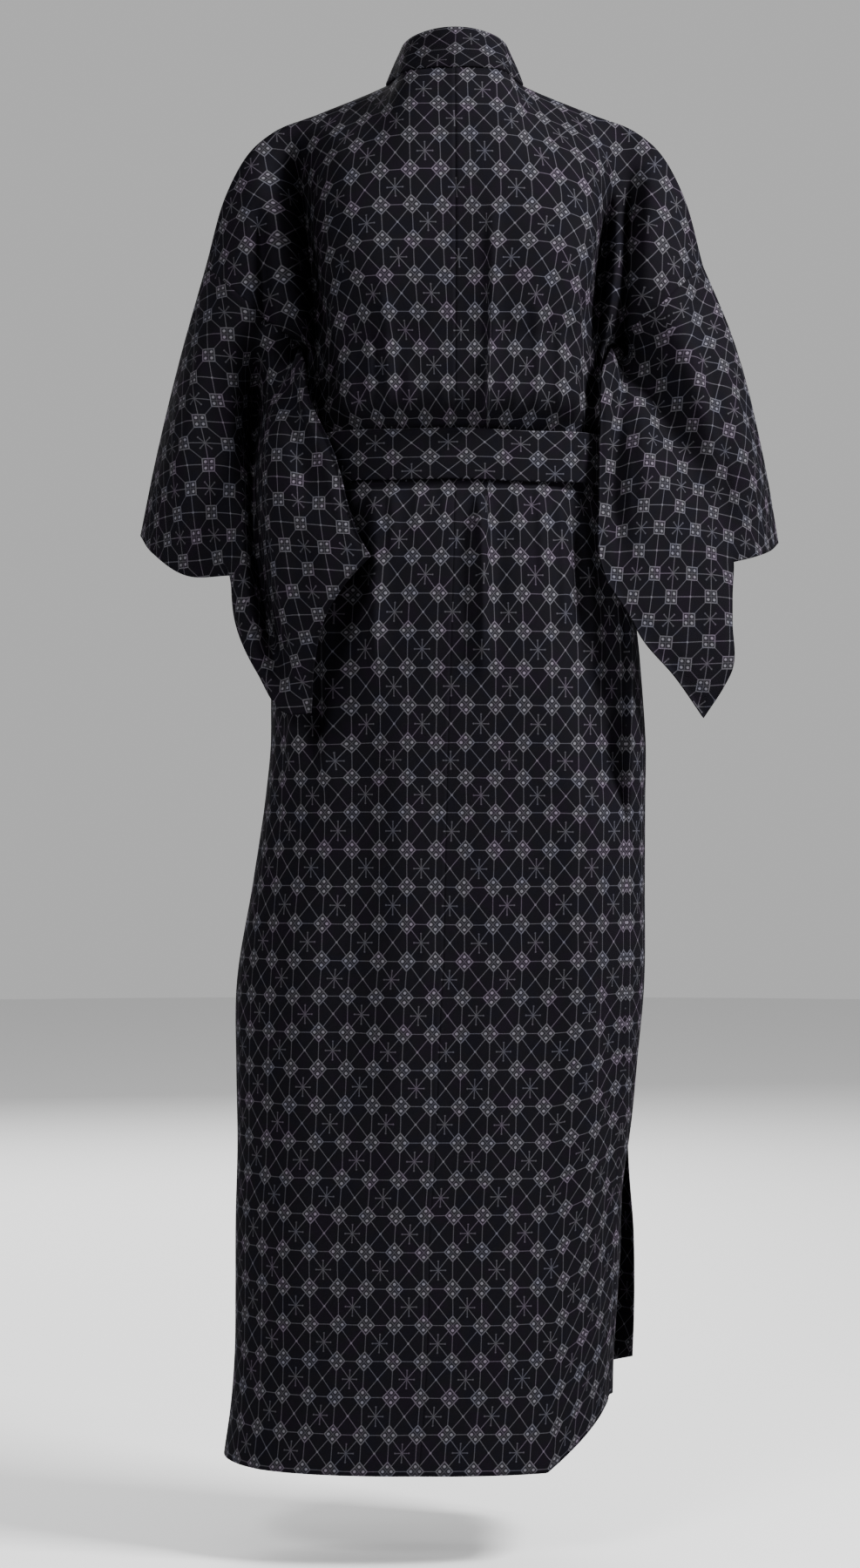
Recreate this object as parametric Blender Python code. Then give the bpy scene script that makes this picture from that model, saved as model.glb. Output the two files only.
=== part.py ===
"""Worn cotton yukata robe with its belt: hollow, open at neck, cuffs and hem.

Metres, +Z up. The origin is midway between the two shoulder points beside the neck, where
the wearer's shoulders carry the robe. The front faces -Y and the wearer's left is +X.
"""
import bmesh
import bpy
import numpy as np

COLLECTION = "yukata_robe"

# Cloth and seams
WALL = 0.0020
SEAM_DRAW = 0.00018      # each piece drawn back from a seam, so that two lie 0.36 mm apart
ARMPIT_CLEAR = 0.0052    # between the body's side and the sleeve at the foot of the armhole
ARMPIT_DROP = 0.4        # share of that clearance by which the sleeve starts lower
ARMPIT_OPEN = 0.60       # share of the sewn step that the layers have at that foot
BELT_WALL = 0.0030
BELT_CLEAR = 0.0010      # between the body cloth and the belt's inside
END_WALL = 0.0025        # folded belt ends
END_LAYER = 0.0036       # from one belt end's outside to the next one's
ROUNDNESS = 2.3          # exponent of the ring sections, 2 is an ellipse
LAP_OUT = 0.0035         # how far the left front stands out over the ring at the lap
LAP_IN = -0.0040         # how far the right front lies in under it
LAP_SHARE = 0.45         # share of the front over which the lap comes to its full size
SEW_STEP = 0.0100        # thickness of the flattened sleeve at its sewn edges
SLEEVE_PUFF = 0.0160     # how far each layer of a sleeve stands out at its middle
COLLAR_WIDTH = 0.0580    # across the band, measured level round the body

PLACES = 5               # decimals that tell two points of the cloth apart
RING_STEPS = 1440        # points round a level section
RING_REACH = 0.0020      # how far to each side of a point its direction is read

# Heights
BELT_TOP = -0.3745
BELT_BOTTOM = -0.4265
COLLAR_END = -0.750
HEM = -1.450
HEM_FREE_FROM = -0.953   # below this the hem tilts

# Columns and rows of the panels
BACK_COLUMNS = 14
LAP_COLUMNS = 5          # columns over which the lap fades out at the collar's seam
NECK_COLUMN = 4
SHOULDER_ROWS = 8
GORE_COLUMNS = 5
EDGE_COLUMNS = 3
SLEEVE_ALONG = 10
SLEEVE_DOWN = 14
SLEEVE_SMOOTHING = 2     # passes along the length of the bag
BELT_STEPS = 72
BELT_OVERLAP = 0.27      # half of the stretch of belt that lies over the lapped fronts
BELT_EASE = 0.06         # length over which it steps up onto them

# The knot's outline is a rounded square; its profile runs from the middle of the back,
# over the rim, to the middle of the front, in shares of the half size and of the depth.
KNOT = {"half_width": 0.029, "half_height": 0.0275, "depth": 0.026, "roundness": 3.2,
        "clear": 0.0008, "steps": 24}
KNOT_PROFILE = ((0.0, 0.0), (0.55, 0.0), (0.86, 0.04), (1.0, 0.28), (1.0, 0.62), (0.84, 0.90),
                (0.5, 1.0), (0.0, 1.0))

# The two ends below the knot: layer 1 lies on the front and layer 2 on layer 1. Offsets of
# the middle line run from the centre front to the wearer's right.
END_COLUMNS = ("name", "layer", "offset_top", "offset_tip", "width_top", "width_tip", "length")
BELT_ENDS = [dict(zip(END_COLUMNS, row)) for row in (
    ("belt_end_left", 1, -0.014, -0.052, 0.040, 0.052, 0.150),
    ("belt_end_right", 2, 0.013, 0.046, 0.040, 0.052, 0.135),
)]
END_DROP = 0.0045        # from the belt's lower edge down to the ends
END_SPREAD = 3           # the ends reach their full width after this share of their length: 1/3
END_ROWS = 9
END_ACROSS = 4

COLOURS = {
    "cloth": (0.021, 0.022, 0.030, 1.0),
    "collar": (0.020, 0.021, 0.028, 1.0),
    "belt": (0.024, 0.025, 0.033, 1.0),
}

# One row for each level section of the body, from the armhole bottom to the hem.
# side: cloth from the centre-back seam to the side seam. gore and edge: where the front
# overlap's seam and the collar's seam lie past the centre front, to the far side.
SECTION_COLUMNS = ("height", "half_width", "back", "front", "centre_x", "seam_x",
                   "side_left", "side_right", "gore_left", "edge_left",
                   "gore_right", "edge_right", "flare")
SECTIONS = [dict(zip(SECTION_COLUMNS, row)) for row in (
    (-0.280, 0.1660, 0.122, 0.128, 0.0000, 0.000, 0.235, 0.235, 0.001, 0.005, 0.001, 0.005, 0.0),
    (-0.318, 0.1680, 0.124, 0.127, 0.0000, 0.000, 0.240, 0.232, 0.006, 0.020, -0.002, 0.016, 0.0),
    (-0.352, 0.1680, 0.119, 0.124, 0.0000, 0.000, 0.243, 0.226, 0.010, 0.032, -0.005, 0.026, 0.0),
    (-0.370, 0.1570, 0.099, 0.111, 0.0000, 0.000, 0.238, 0.220, 0.012, 0.038, -0.007, 0.030, 0.0),
    (-0.400, 0.1570, 0.099, 0.111, 0.0000, 0.000, 0.238, 0.218, 0.015, 0.048, -0.009, 0.035, 0.0),
    (-0.431, 0.1570, 0.099, 0.111, 0.0000, 0.000, 0.240, 0.216, 0.019, 0.058, -0.011, 0.040, 0.0),
    (-0.455, 0.1680, 0.112, 0.118, 0.0000, 0.001, 0.246, 0.213, 0.022, 0.066, -0.014, 0.043, 0.0),
    (-0.505, 0.1810, 0.124, 0.123, -0.001, 0.002, 0.255, 0.210, 0.026, 0.082, -0.018, 0.047, 0.0),
    (-0.570, 0.1910, 0.130, 0.124, -0.002, 0.004, 0.262, 0.206, 0.031, 0.099, -0.022, 0.052, 0.0),
    (-0.640, 0.1970, 0.129, 0.122, -0.003, 0.006, 0.268, 0.203, 0.035, 0.116, -0.026, 0.056, 0.0),
    (-0.703, 0.1994, 0.126, 0.120, -0.0046, 0.008, 0.272, 0.201, 0.038, 0.130, -0.029, 0.059, 0.0),
    (-0.7500, 0.2015, 0.124, 0.119, -0.002, 0.009, 0.275, 0.201, 0.040, 0.138, -0.031, 0.060, 0.0),
    (-0.7504, 0.2015, 0.124, 0.119, -0.002, 0.009, 0.275, 0.201, 0.040, 0.138, -0.031, 0.060, 0.0),
    (-0.842, 0.2080, 0.122, 0.119, 0.0050, 0.011, 0.280, 0.203, 0.044, 0.148, -0.035, 0.060, 0.0),
    (-0.953, 0.2164, 0.121, 0.119, 0.0143, 0.013, 0.285, 0.206, 0.049, 0.158, -0.039, 0.058, 0.0),
    (-1.040, 0.2130, 0.120, 0.118, 0.0180, 0.015, 0.289, 0.210, 0.053, 0.164, -0.042, 0.056, 0.0),
    (-1.119, 0.2090, 0.120, 0.117, 0.0208, 0.016, 0.292, 0.215, 0.056, 0.168, -0.044, 0.055, 0.002),
    (-1.202, 0.2050, 0.120, 0.117, 0.0268, 0.018, 0.295, 0.221, 0.059, 0.171, -0.046, 0.054, 0.012),
    (-1.280, 0.2040, 0.121, 0.117, 0.0280, 0.019, 0.297, 0.226, 0.061, 0.173, -0.048, 0.053, 0.018),
    (-1.340, 0.2026, 0.121, 0.117, 0.0300, 0.020, 0.299, 0.229, 0.063, 0.175, -0.049, 0.052, 0.021),
    (-1.400, 0.2030, 0.122, 0.117, 0.0340, 0.021, 0.300, 0.232, 0.064, 0.176, -0.050, 0.052, 0.024),
    (-1.450, 0.2060, 0.124, 0.118, 0.0380, 0.022, 0.300, 0.234, 0.065, 0.176, -0.050, 0.052, 0.025),
)]

# Height of the hem at the centre back, side seam, gore seam and free edge.
HEM_HEIGHTS = {
    "left": (-1.448, -1.449, -1.412, -1.353),
    "right": (-1.448, -1.397, -1.400, -1.415),
}

# Stations across one shoulder, for the wearer's left; the right is their mirror image.
# column: place in the cloth's width. top: on the shoulder fold. mid: halfway down the armhole.
BACK_STATIONS = (
    # name, column, top, mid
    ("centre back", 0, (0.000, 0.060, 0.007), (0.000, 0.112, -0.130)),
    ("neck back", 2, (0.048, 0.044, 0.007), (0.048, 0.113, -0.130)),
    ("neck side", 4, (0.072, 0.000, 0.000), (0.094, 0.106, -0.132)),
    ("blade edge", 7, (0.146, 0.000, -0.031), (0.146, 0.078, -0.148)),
    ("arm valley", 9, (0.192, 0.002, -0.050), (0.162, 0.034, -0.168)),
    ("arm ridge", 10.5, (0.220, 0.002, -0.075), (0.183, 0.056, -0.186)),
    ("cap valley", 12, (0.243, 0.000, -0.118), (0.204, 0.050, -0.206)),
    ("armhole seam", 14, (0.264, -0.008, -0.190), (0.218, 0.052, -0.236)),
)
FRONT_STATIONS = (
    ("collar seam", 4, (0.072, 0.000, 0.000), (0.043, -0.100, -0.130)),
    ("chest", 7, (0.146, 0.000, -0.031), (0.136, -0.088, -0.146)),
    ("arm valley", 9, (0.192, 0.002, -0.050), (0.162, -0.044, -0.168)),
    ("arm ridge", 10.5, (0.220, 0.002, -0.075), (0.184, -0.060, -0.186)),
    ("cap valley", 12, (0.243, 0.000, -0.118), (0.206, -0.058, -0.206)),
    ("armhole seam", 14, (0.264, -0.008, -0.190), (0.218, -0.058, -0.236)),
)
COLLAR_EDGE = {"half_width": 0.054, "side_y": -0.002, "back_y": 0.060,
               "back_z": 0.049, "side_z": 0.042, "mid": (-0.013, -0.104, -0.130)}

# Edges of the two sleeves. Each edge is a smooth curve through a few places, in the
# order: along the top fold, down the closed inner edge, along the bottom seam, down the
# back and front of the wrist opening, and down the cuff's sewn edge. facing is the way
# that the back layer of the flattened bag looks.
SLEEVES = {
    "left": {
        "facing": (0.55, 0.83, 0.0),
        "fold": ((0.292, -0.013, -0.288), (0.3195, -0.022, -0.399), (0.336, -0.035, -0.4745)),
        "inner": ((0.174, 0.046, -0.300), (0.166, 0.074, -0.328), (0.131, 0.116, -0.400),
                  (0.097, 0.138, -0.495)),
        "bottom": ((0.0870, 0.141, -0.508), (0.110, 0.139, -0.5325), (0.134, 0.132, -0.571),
                   (0.143, 0.124, -0.6055), (0.1485, 0.109, -0.667)),
        "cuff_back": ((0.320, 0.005, -0.4956), (0.276, 0.038, -0.523)),
        "cuff_front": ((0.325, -0.075, -0.498), (0.282, -0.084, -0.524)),
        "cuff_sewn": ((0.2326, 0.032, -0.5215), (0.2310, 0.052, -0.562), (0.205, 0.082, -0.625),
                      (0.171, 0.100, -0.668)),
    },
    "right": {
        "facing": (-0.30, 0.95, 0.0),
        "fold": ((-0.294, -0.013, -0.260), (-0.331, -0.022, -0.399), (-0.347, -0.035, -0.482)),
        "inner": ((-0.176, 0.044, -0.305), (-0.174, 0.072, -0.370), (-0.170, 0.090, -0.440),
                  (-0.163, 0.099, -0.515)),
        "bottom": ((-0.1570, 0.100, -0.5326), (-0.181, 0.094, -0.5686), (-0.192, 0.089, -0.588),
                   (-0.229, 0.070, -0.6295), (-0.260, 0.051, -0.666)),
        "cuff_back": ((-0.333, 0.008, -0.494), (-0.308, 0.044, -0.504)),
        "cuff_front": ((-0.333, -0.075, -0.500), (-0.296, -0.068, -0.515)),
        "cuff_sewn": ((-0.2917, 0.043, -0.510), (-0.2930, 0.052, -0.560), (-0.291, 0.056, -0.622),
                      (-0.279, 0.053, -0.662)),
    },
}

# Largest folds of the back and skirt: cloth place from the centre-back seam (left is
# positive), width, depth outward, and the heights where each starts and ends.
FOLD_FADE = 1.6          # how soon a fold has its full depth, from either end
FOLD_FLATTEN = 0.02      # distance from the belt over which the folds go flat
FOLD_COLUMNS = ("place", "width", "depth", "start", "end")
FOLDS = [dict(zip(FOLD_COLUMNS, row)) for row in (
    (-0.036, 0.016, -0.010, -0.150, -0.420),
    (-0.030, 0.018, -0.016, -0.400, -0.660),
    (0.088, 0.018, -0.009, -0.250, -0.420),
    (0.092, 0.018, -0.012, -0.410, -0.640),
    (0.170, 0.020, -0.012, -0.420, -0.700),
    (-0.110, 0.018, -0.008, -0.410, -0.600),
    (0.030, 0.022, 0.006, -0.420, -0.620),
    (0.130, 0.022, 0.007, -0.430, -0.680),
    (-0.150, 0.024, 0.006, -0.430, -0.640),
    (0.210, 0.030, 0.006, -0.800, -1.400),
)]


def through(knots, places, at):
    """A smooth curve through places at the given knots, read at the values at (Hermite cubics)."""
    knots = np.asarray(knots, float)
    places = np.asarray(places, float)
    slope = np.gradient(places, knots, axis=0)
    at = np.clip(np.asarray(at, float), knots[0], knots[-1])
    cell = np.clip(np.searchsorted(knots, at, side="right") - 1, 0, len(knots) - 2)
    span = (knots[cell + 1] - knots[cell])[:, None]
    t = ((at - knots[cell])[:, None]) / span
    return ((2 * t**3 - 3 * t**2 + 1) * places[cell] + (t**3 - 2 * t**2 + t) * span * slope[cell]
            + (3 * t**2 - 2 * t**3) * places[cell + 1] + (t**3 - t**2) * span * slope[cell + 1])


def evenly(places, steps):
    """The smooth curve through places, cut into equal lengths: steps + 1 points."""
    places = np.asarray(places, float)
    reach = np.concatenate([[0], np.cumsum(np.linalg.norm(np.diff(places, axis=0), axis=1))])
    fine = through(reach, places, np.linspace(0, reach[-1], 400))
    length = np.concatenate([[0], np.cumsum(np.linalg.norm(np.diff(fine, axis=0), axis=1))])
    return np.stack([np.interp(np.linspace(0, length[-1], steps + 1), length, fine[:, k])
                     for k in range(3)], axis=1)


def ease(t):
    """0 to 1 with level ends."""
    t = np.clip(t, 0.0, 1.0)
    return t * t * (3 - 2 * t)


def fold_depth(place, height):
    """How far the folds push the cloth outward at a place and a height."""
    total = np.zeros_like(place)
    for fold in FOLDS:
        middle = (fold["start"] + fold["end"]) / 2
        half = (fold["start"] - fold["end"]) / 2
        window = ease(FOLD_FADE * (1 - abs(height - middle) / half))
        total += fold["depth"] * np.exp(-((place - fold["place"]) / fold["width"])**2) * window
    from_belt = abs(height - (BELT_TOP + BELT_BOTTOM) / 2) - (BELT_TOP - BELT_BOTTOM) / 2
    in_belt = ease(1.0 - from_belt / FOLD_FLATTEN)
    return total * (1 - in_belt)


def ring(section):
    """The closed level section, from the centre back round by +X, with its running length."""
    angle = np.linspace(0, 2 * np.pi, RING_STEPS + 1)
    power = 2 / ROUNDNESS
    depth = np.where(np.cos(angle) > 0, section["back"], section["front"])
    x = section["centre_x"] + section["half_width"] * np.sign(np.sin(angle)) * abs(np.sin(angle))**power
    y = depth * np.sign(np.cos(angle)) * abs(np.cos(angle))**power
    loop = np.stack([x, y], axis=1)
    length = np.concatenate([[0], np.cumsum(np.linalg.norm(np.diff(loop, axis=0), axis=1))])
    return loop, length


def seam_start(section, loop, length):
    """Running length of the centre-back seam on the ring."""
    quarter = RING_STEPS // 4
    return np.interp(section["seam_x"], loop[:quarter, 0], length[:quarter])


def walk(section, side, place, out, hem=None):
    """Points at cloth places from the centre-back seam towards side, moved out by out.

    place and out are arrays. hem gives the hem's own height at each place."""
    loop, length = ring(section)
    turn = length[-1]
    sign = 1 if side == "left" else -1
    at = (seam_start(section, loop, length) + sign * place) % turn
    x = np.interp(at, length, loop[:, 0])
    y = np.interp(at, length, loop[:, 1])
    ahead = np.stack([np.interp((at + RING_REACH) % turn, length, loop[:, k])
                      - np.interp((at - RING_REACH) % turn, length, loop[:, k]) for k in (0, 1)], axis=1)
    ahead /= np.linalg.norm(ahead, axis=1)[:, None]
    push = out + fold_depth(sign * place, section["height"])
    x = x - ahead[:, 1] * push
    y = y + ahead[:, 0] * push
    z = np.full_like(x, section["height"])
    if hem is not None and section["height"] < HEM_FREE_FROM:
        z = HEM_FREE_FROM + (z - HEM_FREE_FROM) * (hem - HEM_FREE_FROM) / (HEM - HEM_FREE_FROM)
    return np.stack([x, y, z], axis=1)


def centre_front(section, side):
    """Cloth length from the centre-back seam round that side to the centre front."""
    loop, length = ring(section)
    start = seam_start(section, loop, length)
    half = length[RING_STEPS // 2]
    return half - start if side == "left" else length[-1] - half + start


def marks(section, side):
    """Cloth places of the side seam, gore seam, collar seam and free edge on a section."""
    front = centre_front(section, side)
    edge = front + section["edge_" + side]
    return section["side_" + side], front + section["gore_" + side], edge, edge + COLLAR_WIDTH


def lap(section, side, place):
    """Outward shift of a front's layer: none at the side seam, full at the gore seam."""
    side_seam, gore, _, _ = marks(section, side)
    full = LAP_OUT if side == "left" else LAP_IN
    return full * ease((place - side_seam) / (LAP_SHARE * (gore - side_seam)))


def flare(section, side, place):
    """The outer front's free corner stands off the body near its edge."""
    if side == "right":
        return np.zeros_like(place)
    _, gore, _, free = marks(section, side)
    return section["flare"] * np.clip((place - gore) / (free - gore), 0, 1)**2


def hem_at(section, side, place):
    """Height of the hem at a cloth place, level between the seams' own heights."""
    side_seam, gore, _, free = marks(section, side)
    return np.interp(place, (0, side_seam, gore, free), HEM_HEIGHTS[side])


def on_ring(section, side, place):
    """Panel points of one section at cloth places, with lap, flare and hem."""
    place = np.asarray(place, float)
    out = lap(section, side, place) + flare(section, side, place)
    return walk(section, side, place, out, hem_at(section, side, place))


def between(top, mid, low, t):
    """The parabola through top, mid and low at 0, a half and 1."""
    return (2 * (t - 0.5) * (t - 1)) * top + (4 * t * (1 - t)) * mid + (2 * t * (t - 0.5)) * low


def shoulder_rows(stations, low_row, columns, side, lap_full):
    """Rows from the shoulder fold down to the armhole bottom, across the named stations."""
    mirror = np.array([1 if side == "left" else -1, 1, 1])
    knots = [station[1] for station in stations]
    top = np.array([station[2] for station in stations]) * mirror
    mid = np.array([station[3] for station in stations]) * mirror
    low = through(columns, low_row, knots)
    rows = []
    for k in range(SHOULDER_ROWS):
        t = k / SHOULDER_ROWS
        row = through(knots, between(top, mid, low, t), columns)
        near = ease(1 - (columns - columns[0]) / LAP_COLUMNS)
        row[:, 1] -= lap_full * ease(2 * t) * (1 - t) * near
        rows.append(row)
    return rows


def grid_quads(rows, columns, start, flip):
    """Quads of a grid of points that begins at index start."""
    index = np.arange(rows * columns).reshape(rows, columns) + start
    quads = np.stack([index[:-1, :-1], index[1:, :-1], index[1:, 1:], index[:-1, 1:]], axis=-1)
    quads = quads.reshape(-1, 4)
    return quads[:, ::-1] if flip else quads


def weld(points, quads):
    """Points that share a place become one, and quads with a repeated corner triangles."""
    keys, inverse = np.unique(np.round(points, PLACES), axis=0, return_inverse=True)
    faces = []
    for quad in inverse.reshape(-1)[quads]:
        face = [corner for k, corner in enumerate(quad) if corner != quad[k - 1]]
        if len(set(face)) == len(face) > 2:
            faces.append(face)
    return keys, faces


def body_length(side):
    """One body length: back and front in one, folded at the shoulder and sewn at the side."""
    columns = np.arange(BACK_COLUMNS + 1.0)
    back, front = [], []
    for section in SECTIONS:
        side_seam, gore, _, _ = marks(section, side)
        back.append(on_ring(section, side, side_seam * columns / BACK_COLUMNS))
        part = (BACK_COLUMNS - columns[NECK_COLUMN:]) / (BACK_COLUMNS - NECK_COLUMN)
        front.append(on_ring(section, side, side_seam + (gore - side_seam) * part))
    lap_full = LAP_OUT if side == "left" else LAP_IN
    back = shoulder_rows(BACK_STATIONS, back[0], columns, side, 0.0) + back
    front = shoulder_rows(FRONT_STATIONS, front[0], columns[NECK_COLUMN:], side, lap_full) + front
    front[0] = back[0][NECK_COLUMN:]
    return np.array(back), np.array(front)


def body_piece(side):
    back, front = body_length(side)
    rows, columns = back.shape[:2]
    flip = side == "left"
    points = np.concatenate([back.reshape(-1, 3), front.reshape(-1, 3)])
    quads = np.concatenate([
        grid_quads(rows, columns, 0, flip),
        grid_quads(rows, front.shape[1], rows * columns, not flip),
    ])
    return weld(points, quads)


def overlap_piece(side):
    """The front gore from its seam to the collar's seam, and under the collar to its free edge."""
    upper, lower = [], []
    for section in SECTIONS:
        _, gore, edge, free = marks(section, side)
        upper.append(on_ring(section, side, np.linspace(gore, edge, GORE_COLUMNS + 1)))
        if section["height"] < COLLAR_END:
            lower.append(on_ring(section, side, np.linspace(edge, free, EDGE_COLUMNS + 1)))
    upper, lower = np.array(upper), np.array(lower)
    flip = side == "left"
    points = np.concatenate([upper.reshape(-1, 3), lower.reshape(-1, 3)])
    quads = np.concatenate([
        grid_quads(len(upper), GORE_COLUMNS + 1, 0, flip),
        grid_quads(len(lower), EDGE_COLUMNS + 1, upper.shape[0] * upper.shape[1], flip),
    ])
    return weld(points, quads)


def collar_half(side):
    """Rows of the band from the centre back down one front: seam, middle, free edge."""
    back, front = body_length(side)
    mirror = np.array([1 if side == "left" else -1, 1, 1])
    lap_full = LAP_OUT if side == "left" else LAP_IN
    rows = []
    for column in range(NECK_COLUMN + 1):
        turn = column / NECK_COLUMN * np.pi / 2
        edge = np.array([COLLAR_EDGE["half_width"] * np.sin(turn),
                         COLLAR_EDGE["side_y"]
                         + (COLLAR_EDGE["back_y"] - COLLAR_EDGE["side_y"]) * np.cos(turn),
                         COLLAR_EDGE["side_z"]
                         + (COLLAR_EDGE["back_z"] - COLLAR_EDGE["side_z"]) * np.cos(turn)**2])
        rows.append((back[0, column], edge * mirror))
    top = rows[-1][1]
    low = on_ring(SECTIONS[0], side, marks(SECTIONS[0], side)[-1:])[0]
    mid = np.array(COLLAR_EDGE["mid"]) * mirror - np.array([0, lap_full, 0])
    for k in range(1, SHOULDER_ROWS):
        rows.append((front[k, 0], between(top, mid, low, k / SHOULDER_ROWS)))
    rows = [np.array([seam, (seam + edge) / 2, edge]) for seam, edge in rows]
    for section in SECTIONS:
        if section["height"] < COLLAR_END:
            break
        _, _, edge_place, free_place = marks(section, side)
        rows.append(on_ring(section, side, np.linspace(edge_place, free_place, 3)))
    return rows


def collar_piece():
    left = collar_half("left")
    right = collar_half("right")
    rows = np.array(left[::-1] + right[1:])
    return weld(rows.reshape(-1, 3), grid_quads(len(rows), 3, 0, False))


def sleeve_piece(side):
    """A bag: back and front layers joined at the fold, sewn below, open at armhole and wrist."""
    edges = SLEEVES[side]
    back, front = body_length(side)
    armhole = {"back": back[:SHOULDER_ROWS + 1, -1], "front": front[:SHOULDER_ROWS + 1, -1]}
    sewn = SLEEVE_DOWN - SHOULDER_ROWS
    along = np.linspace(0, 1, SLEEVE_ALONG + 1)[:, None, None]
    down = np.linspace(0, 1, SLEEVE_DOWN + 1)[None, :, None]
    part = ARMPIT_OPEN + (1 - ARMPIT_OPEN) * ease(np.arange(sewn + 1) / 1.5)[:, None]
    facing = np.array(edges["facing"])
    fold = evenly((armhole["back"][0],) + edges["fold"], SLEEVE_ALONG)
    layers = []
    for layer, step in (("back", SEW_STEP / 2), ("front", -SEW_STEP / 2)):
        shift = step * facing
        armpit = armhole[layer][-1] + ARMPIT_CLEAR * np.array([np.sign(facing[0]), 0, -ARMPIT_DROP])
        inner = evenly((armpit,) + edges["inner"] + edges["bottom"][:1], sewn)
        inner = inner + part * shift
        start = np.concatenate([armhole[layer][:-1], inner])
        cuff = evenly(edges["cuff_sewn"] + edges["bottom"][-1:], sewn) + shift
        wrist = evenly(edges["fold"][-1:] + edges["cuff_" + layer] + (tuple(cuff[0]),), SHOULDER_ROWS)
        end = np.concatenate([wrist, cuff[1:]])
        bottom = evenly(edges["bottom"], SLEEVE_ALONG) + shift
        corners = ((1 - along) * (1 - down) * start[0] + (1 - along) * down * start[-1]
                   + along * (1 - down) * end[0] + along * down * end[-1])
        puff = SLEEVE_PUFF * np.sign(step) * np.sin(np.pi * down) * np.sin(np.pi * along)
        layer = ((1 - along) * start[None] + along * end[None]
                 + (1 - down) * fold[:, None] + down * bottom[:, None] - corners + puff * facing)
        for _ in range(SLEEVE_SMOOTHING):
            layer[1:-1, 1:-1] = (layer[1:-1, :-2] + 2 * layer[1:-1, 1:-1] + layer[1:-1, 2:]) / 4
        layers.append(layer)
    rows, columns = SLEEVE_ALONG + 1, SLEEVE_DOWN + 1
    points = np.concatenate([layer.reshape(-1, 3) for layer in layers])
    outward = side == "left"
    quads = [grid_quads(rows, columns, 0, not outward),
             grid_quads(rows, columns, rows * columns, outward)]
    index = np.arange(rows * columns).reshape(rows, columns)
    other = index + rows * columns
    strips = ((index[:, -1], other[:, -1]),
              (index[0, SHOULDER_ROWS:], other[0, SHOULDER_ROWS:]),
              (index[-1, SHOULDER_ROWS:][::-1], other[-1, SHOULDER_ROWS:][::-1]))
    for near, far in strips:
        strip = np.stack([near[:-1], near[1:], far[1:], far[:-1]], axis=-1)
        quads.append(strip if outward else strip[:, ::-1])
    return weld(points, np.concatenate(quads))


def shared_normals(pieces):
    """Face normals summed at each point over every piece, so that walls stay parallel at seams."""
    sums = {}
    for points, faces in pieces.values():
        for face in faces:
            corners = points[face]
            normal = np.zeros(3)
            for k in range(len(face)):
                normal += np.cross(corners[k - 1], corners[k])
            normal /= np.linalg.norm(normal)
            for corner in corners:
                key = tuple(np.round(corner, PLACES))
                sums[key] = sums.get(key, 0) + normal
    return sums


def add_material(obj, kind):
    material = bpy.data.materials.new(obj.name + "_" + kind)
    material.use_nodes = True
    shader = material.node_tree.nodes["Principled BSDF"]
    shader.inputs["Base Color"].default_value = COLOURS[kind]
    shader.inputs["Roughness"].default_value = 0.85
    shader.inputs["Metallic"].default_value = 0.0
    obj.data.materials.append(material)


def add_object(name, points, faces, kind, collection):
    mesh = bpy.data.meshes.new(name)
    mesh.from_pydata([tuple(point) for point in points], [], [list(map(int, face)) for face in faces])
    mesh.update()
    mesh.shade_smooth()
    obj = bpy.data.objects.new(name, mesh)
    collection.objects.link(obj)
    add_material(obj, kind)
    return obj


def unit(vector):
    return vector / np.linalg.norm(vector)


def add_wall(name, points, faces, sums, seams, thickness, kind, collection):
    """A closed wall under the outer points, drawn back from its shared seams by half the gap."""
    normals = np.array([unit(sums[tuple(np.round(point, PLACES))]) for point in points])
    owner = {}
    for face in faces:
        for k in range(len(face)):
            owner[(face[k - 1], face[k])] = face
    rim = [edge for edge in owner if edge[::-1] not in owner]
    pulls = {}
    for edge in rim:
        if all(tuple(np.round(points[corner], PLACES)) in seams for corner in edge):
            along = unit(points[edge[1]] - points[edge[0]])
            inward = points[owner[edge]].mean(axis=0) - points[edge[0]]
            inward = unit(inward - along * inward.dot(along))
            for corner in edge:
                pulls.setdefault(corner, []).append(inward)
    outer = points.copy()
    for corner, inwards in pulls.items():
        mean = np.mean(inwards, axis=0)
        outer[corner] += mean / max(mean.dot(mean), 0.4) * SEAM_DRAW
    inner = outer - thickness * normals
    count = len(points)
    solid = [list(face) for face in faces]
    solid += [[corner + count for corner in face[::-1]] for face in faces]
    for a, b in rim:
        # the same diagonal in both pieces that meet here
        if tuple(points[a]) < tuple(points[b]):
            solid += [[b, a, b + count], [a, a + count, b + count]]
        else:
            solid += [[b, a, a + count], [b, a + count, b + count]]
    return add_object(name, np.concatenate([outer, inner]), solid, kind, collection)


def shared_seams(pieces):
    """Places that more than one piece has."""
    owners = {}
    for name, (points, _) in pieces.items():
        for point in points:
            owners.setdefault(tuple(np.round(point, PLACES)), set()).add(name)
    return {key for key, names in owners.items() if len(names) > 1}


def section_at(height):
    """The body's section at any height, read between the rows of the table."""
    rows = SECTIONS[::-1]
    heights = [row["height"] for row in rows]
    return {key: np.interp(height, heights, [row[key] for row in rows]) for key in SECTION_COLUMNS}


def belt_front(height):
    """How far in front of the origin the belt's outside stands."""
    return section_at(height)["front"] + LAP_OUT + BELT_CLEAR + BELT_WALL


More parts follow.
